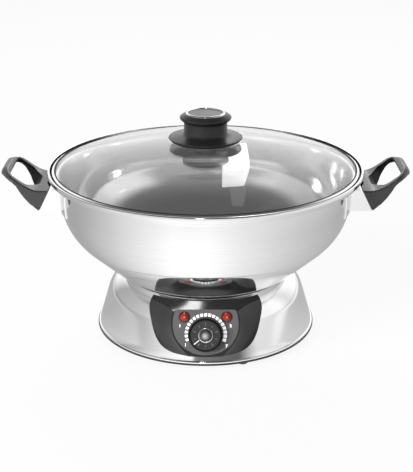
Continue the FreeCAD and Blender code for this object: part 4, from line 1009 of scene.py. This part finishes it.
# Painted shade: the finger hole's wall goes darker.
change_where(add, link, shader, "Base Color", hole_share, grey(HOLE_PAINTED_SHADE))
specular = between(compute, hole_share, RESIN_SPECULAR, HOLE_SPECULAR)
link(specular, shader.inputs["Specular IOR Level"])
for side, handle in handles.items():
    settle(handle, "pot", "black_phenolic", "handle_" + side, material=handle_resin)

# %% [markdown]
# ## Control housing
# The housing is the solid node itself: its ramps and its shelf are worked out in the construction already.
# Only its finish is special. The shelf above the dial is hollow and glossy, and mirrors what stands in
# front of the pot. A new mesh could make it hollower. Here only its shading normals are tilted well
# forwards, which brings the window's streak into it and leaves the form as it is.

# %% Housing finish
SHELF_TILT = 1.5
SHELF_SLOPE = (0.70, 0.92)
RAMP_SPECULAR, SHELF_SPECULAR = 0.5, 1.0
SHELF_ROUGH_SHARE = 0.25
housing_plastic = FINISHES["black_plastic"].copy()
housing_plastic.name = "housing_plastic"
add, link, compute, shader = opened(housing_plastic)
steepness = parts_of(add, link, add("NewGeometry").outputs["Normal"])["Z"]
shelf_share = smooth_step(add, link, steepness, *SHELF_SLOPE)
specular = between(compute, shelf_share, RAMP_SPECULAR, SHELF_SPECULAR)
link(specular, shader.inputs["Specular IOR Level"])
rough_share = between(compute, shelf_share, 1.0, SHELF_ROUGH_SHARE)
rough_before = shader.inputs["Roughness"].links[0].from_socket
link(compute("MULTIPLY", rough_before, rough_share), shader.inputs["Roughness"])
forwards = add("CombineXYZ")
link(compute("MULTIPLY", shelf_share, -SHELF_TILT), forwards.inputs["Y"])
grained = shader.inputs["Normal"].links[0].from_socket
tilted = compute("ADD", grained, forwards.outputs[0], kind="VectorMath", result="Vector")
link(compute("NORMALIZE", tilted, kind="VectorMath", result="Vector"), shader.inputs["Normal"])
dress(nodes["panel_housing"], housing_plastic)
print("housing finish:", housing_plastic.name)

# %% [markdown]
# ## Face plate
# The plate is a flat grey moulding with a soft edge that catches the light. The edge could be rounded in a
# new mesh, but the solid node is right otherwise, so a Bevel node rounds only its shading.

# %% Plate finish
PLATE_EDGE = 0.8
plate_plastic = finish("plate_plastic", grey(0.068), grey(0.112), (0.36, 0.48), 0.35, relief=0.010)
add, link, _, shader = opened(plate_plastic)
soft_edge = add("Bevel", samples=6)
soft_edge.inputs["Radius"].default_value = PLATE_EDGE * MM
link(soft_edge.outputs[0], shader.inputs["Normal"].links[0].from_node.inputs["Normal"])
dress(nodes["panel_plate"], plate_plastic)
print("plate edge in mm:", PLATE_EDGE)

# %% [markdown]
# ## Scale, ticks and digits
# The real scale is printed in thick white paint. A picture mapped on the plate would blur, so every mark is
# a thin solid: a short radial edge, spun round the dial's axis and given the thickness of the paint.
# The marks grow from thin blocks on the left to wide ones on the right. The ends carry a plain 1 and 7.

# %% White paint with a painted glow
PAINT = 0.14
PRINT_GAP = 0.02
DEGREES_PER_STEP = 2
# The paint glows faintly: painted light, which keeps the marks bright where the dial shades them.
glowing_white_paint = finish(
    "glowing_white_paint", grey(0.84), grey(0.92), (0.4, 0.55), 0.6, relief=0.003, **{"Emission Strength": 0.42})
print("paint in mm:", PAINT)


def mark(radius, width, start, sweep):
    """In edit mode: a flat piece of a ring about Z, clockwise from a start angle. Angles are in degrees."""
    bpy.ops.mesh.select_all(action="DESELECT")
    bpy.ops.mesh.primitive_plane_add(size=MM, location=(0, 0, 0))
    bpy.ops.mesh.merge(type="CENTER")
    bpy.ops.transform.translate(value=(radius * MM, 0, 0))
    bpy.ops.mesh.extrude_vertices_move(TRANSFORM_OT_translate={"value": (width * MM, 0, 0)})
    bpy.ops.mesh.select_linked()
    bpy.ops.transform.rotate(value=-math.radians(start), orient_axis="Z", center_override=(0, 0, 0))
    steps = max(1, round(sweep / DEGREES_PER_STEP))
    bpy.ops.mesh.spin(steps=steps, angle=math.radians(sweep), center=(0, 0, 0), axis=(0, 0, 1))


def painted(name, marks, lift, thickness=PAINT):
    """One mesh of many marks, each a closed solid of the paint's thickness, lifted to its surface."""
    piece = start_piece(name)
    bpy.ops.mesh.delete(type="VERT")
    for one in marks:
        mark(*one)
    bpy.ops.mesh.select_all(action="SELECT")
    bpy.ops.mesh.remove_doubles(threshold=MERGE)
    bpy.ops.mesh.extrude_region_move(TRANSFORM_OT_translate={"value": (0, 0, thickness * MM)})
    bpy.ops.mesh.select_all(action="SELECT")
    bpy.ops.transform.translate(value=(0, 0, lift * MM))
    return close_up(piece)


# %% Scale round the dial
PITCH = 11.9
SCALE_MARKS = 19
SCALE_START = 197
SCALE_RADIUS = 17.5
FIRST_WIDTH, ADDED_WIDTH = 2.7, 0.6
FIRST_FILL, ADDED_FILL = 0.58, 0.22
scale_marks = []
for number in range(SCALE_MARKS):
    growth = number / (SCALE_MARKS - 1)
    sweep = PITCH * (FIRST_FILL + ADDED_FILL * growth)
    start = SCALE_START - PITCH * number + sweep / 2
    scale_marks.append((SCALE_RADIUS, FIRST_WIDTH + ADDED_WIDTH * growth, start, sweep))
scale = lay_on_panel(painted("dial_scale", scale_marks, PRINT_GAP))
dress(scale, glowing_white_paint)
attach(scale, "pot")
print("scale marks:", len(scale_marks), "faces:", len(scale.data.polygons))

# %% Ticks and pointer on the dial
TICKS, TICK_RADIUS, TICK_SWEEP = 10, 9.6, 1.8
LONG_TICK, SHORT_TICK = 3.0, 2.1
TICK_PAINT = 0.12
POINTER_ANGLE = 218
POINTER_RADIUS, POINTER_LENGTH, POINTER_SWEEP = 7.9, 6.4, 2.8
POINTER_PAINT = 0.25
tick_marks = []
for number in range(TICKS):
    start = 90 - 360 / TICKS * number + TICK_SWEEP / 2
    tick_marks.append((TICK_RADIUS, SHORT_TICK if number % 2 else LONG_TICK, start, TICK_SWEEP))
ticks = lay_on_panel(painted("dial_ticks", tick_marks, DIAL_FACE, TICK_PAINT))
dress(ticks, finish("tick_paint", grey(0.22), grey(0.32), (0.4, 0.5), 0.6, relief=0.002))
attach(ticks, "dial")
pointer_mark = (POINTER_RADIUS, POINTER_LENGTH, POINTER_ANGLE + POINTER_SWEEP / 2, POINTER_SWEEP)
pointer = lay_on_panel(painted("dial_pointer", [pointer_mark], DIAL_FACE, POINTER_PAINT))
dress(pointer, glowing_white_paint)
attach(pointer, "dial")
print("ticks:", len(tick_marks), "pointer at:", POINTER_ANGLE)

# %% Digits
DIGIT_SIZE = 4.0
DIGIT_WEIGHT = 0.16
DIGITS = (("1", -19.6, -10.4), ("7", 20.4, -11.7), ("1", -25.0, 8.2), ("2", 24.4, 8.2))


def digit(text, side, height):
    """A flat digit turned into a mesh, centred on its place on the panel."""
    bpy.ops.object.select_all(action="DESELECT")
    bpy.ops.object.text_add(location=(0, 0, 0))
    letter = bpy.context.object
    letter.name = "digit_" + text
    letter.data.body = text
    letter.data.size = DIGIT_SIZE * MM
    letter.data.extrude = PAINT / 2 * MM
    letter.data.offset = DIGIT_WEIGHT * MM
    letter.data.align_x = "CENTER"
    letter.data.align_y = "CENTER"
    bpy.ops.object.convert(target="MESH")
    bpy.ops.object.mode_set(mode="EDIT")
    piece = close_up(bpy.context.object)
    shift(piece, side, height, PAINT / 2 + PRINT_GAP)
    dress(lay_on_panel(piece), glowing_white_paint)
    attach(piece, "pot")


for text, side, height in DIGITS:
    digit(text, side, height)
print("digits:", len(DIGITS))

# %% [markdown]
# ## Lights
# Each light is a red lens pressed into the plate from behind. Its face is cut in rings, so that the lamp
# behind it looks wider. The rings are real steps here, because they break the highlight into small arcs.
# Light and shade are painted into its colour: orange at the centre, dark red at the edge, and two dark rings.
# A thin black collar frames each lens.

# %% Lens finish
LENS_SIDE = 20.6
LENS_UP = 16.9
LENS_RADIUS = 4.8
GRAIN_SHARE = 0.35
# Painted light and shade as (share of the radius, colour): lit orange centre, shaded edge and two shaded
# rings.
LENS_LIGHT_AND_SHADE = ((0.0, (0.80, 0.19, 0.08)), (1.0, (0.05, 0.004, 0.004)), (0.28, (0.50, 0.07, 0.04)),
                (0.42, (0.14, 0.012, 0.010)), (0.60, (0.38, 0.045, 0.03)), (0.76, (0.17, 0.02, 0.015)))
lens_finish = finish("lens_red", (0.55, 0.015, 0.008), (0.80, 0.05, 0.02), (0.06, 0.14), 0.9, relief=0.004)
add, link, compute, shader = opened(lens_finish)
lens_light_and_shade_ramp = add("ValToRGB")
ramp_marks = lens_light_and_shade_ramp.color_ramp.elements
for position, colour in LENS_LIGHT_AND_SHADE:
    ramp_mark = ramp_marks[int(position)] if position in (0.0, 1.0) else ramp_marks.new(position)
    ramp_mark.color = colour + (1,)
# The painted light and shade follow the distance from the lens's centre.
from_centre = panel_radius(add, link, compute, LENS_SIDE, LENS_UP)
link(compute("DIVIDE", from_centre, LENS_RADIUS * MM), lens_light_and_shade_ramp.inputs[0])
grained = shader.inputs["Base Color"].links[0].from_socket
lens_colour = mixed(add, link, GRAIN_SHARE, lens_light_and_shade_ramp.outputs[0], grained, "RGBA", "MULTIPLY")
link(lens_colour, shader.inputs["Base Color"])
print("lens colours:", len(LENS_LIGHT_AND_SHADE))

# %% Lenses and collars
LENS_STEPS = 64
SKIRT_RADIUS = 5.8
LENS_BACK = -4.4
lens_section = solid_section([
    (0, 1.9, 0), (1.5, 1.75, 0), (1.6, 1.3, 0), (2.9, 1.15, 0), (3.0, 0.75, 0), (4.1, 0.6, 0),
    (LENS_RADIUS, 0.45, 0.25), (LENS_RADIUS, -1.0, 0), (SKIRT_RADIUS, -1.0, 0), (SKIRT_RADIUS, -2.2, 0),
    (LENS_RADIUS, -2.2, 0), (LENS_RADIUS, LENS_BACK, 0), (0, LENS_BACK, 0)])
collar_section = solid_section([
    (4.85, 0.02, 0), (5.55, 0.02, 0), (5.55, 0.35, 0.15), (4.95, 0.6, 0.15), (4.85, 0.5, 0)])
for side, node in ((-1, "power_lens"), (1, "heat_lens")):
    lens = shift(turned(node + "_cut", lens_section, LENS_STEPS), side * LENS_SIDE, LENS_UP)
    dress(lay_on_panel(lens), lens_finish)
    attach(lens, "pot")
    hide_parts(node)
    collar = shift(turned(node + "_collar", collar_section, LENS_STEPS), side * LENS_SIDE, LENS_UP)
    settle(lay_on_panel(collar), "pot", "black_plastic")
print("lenses stand at:", LENS_SIDE, LENS_UP)
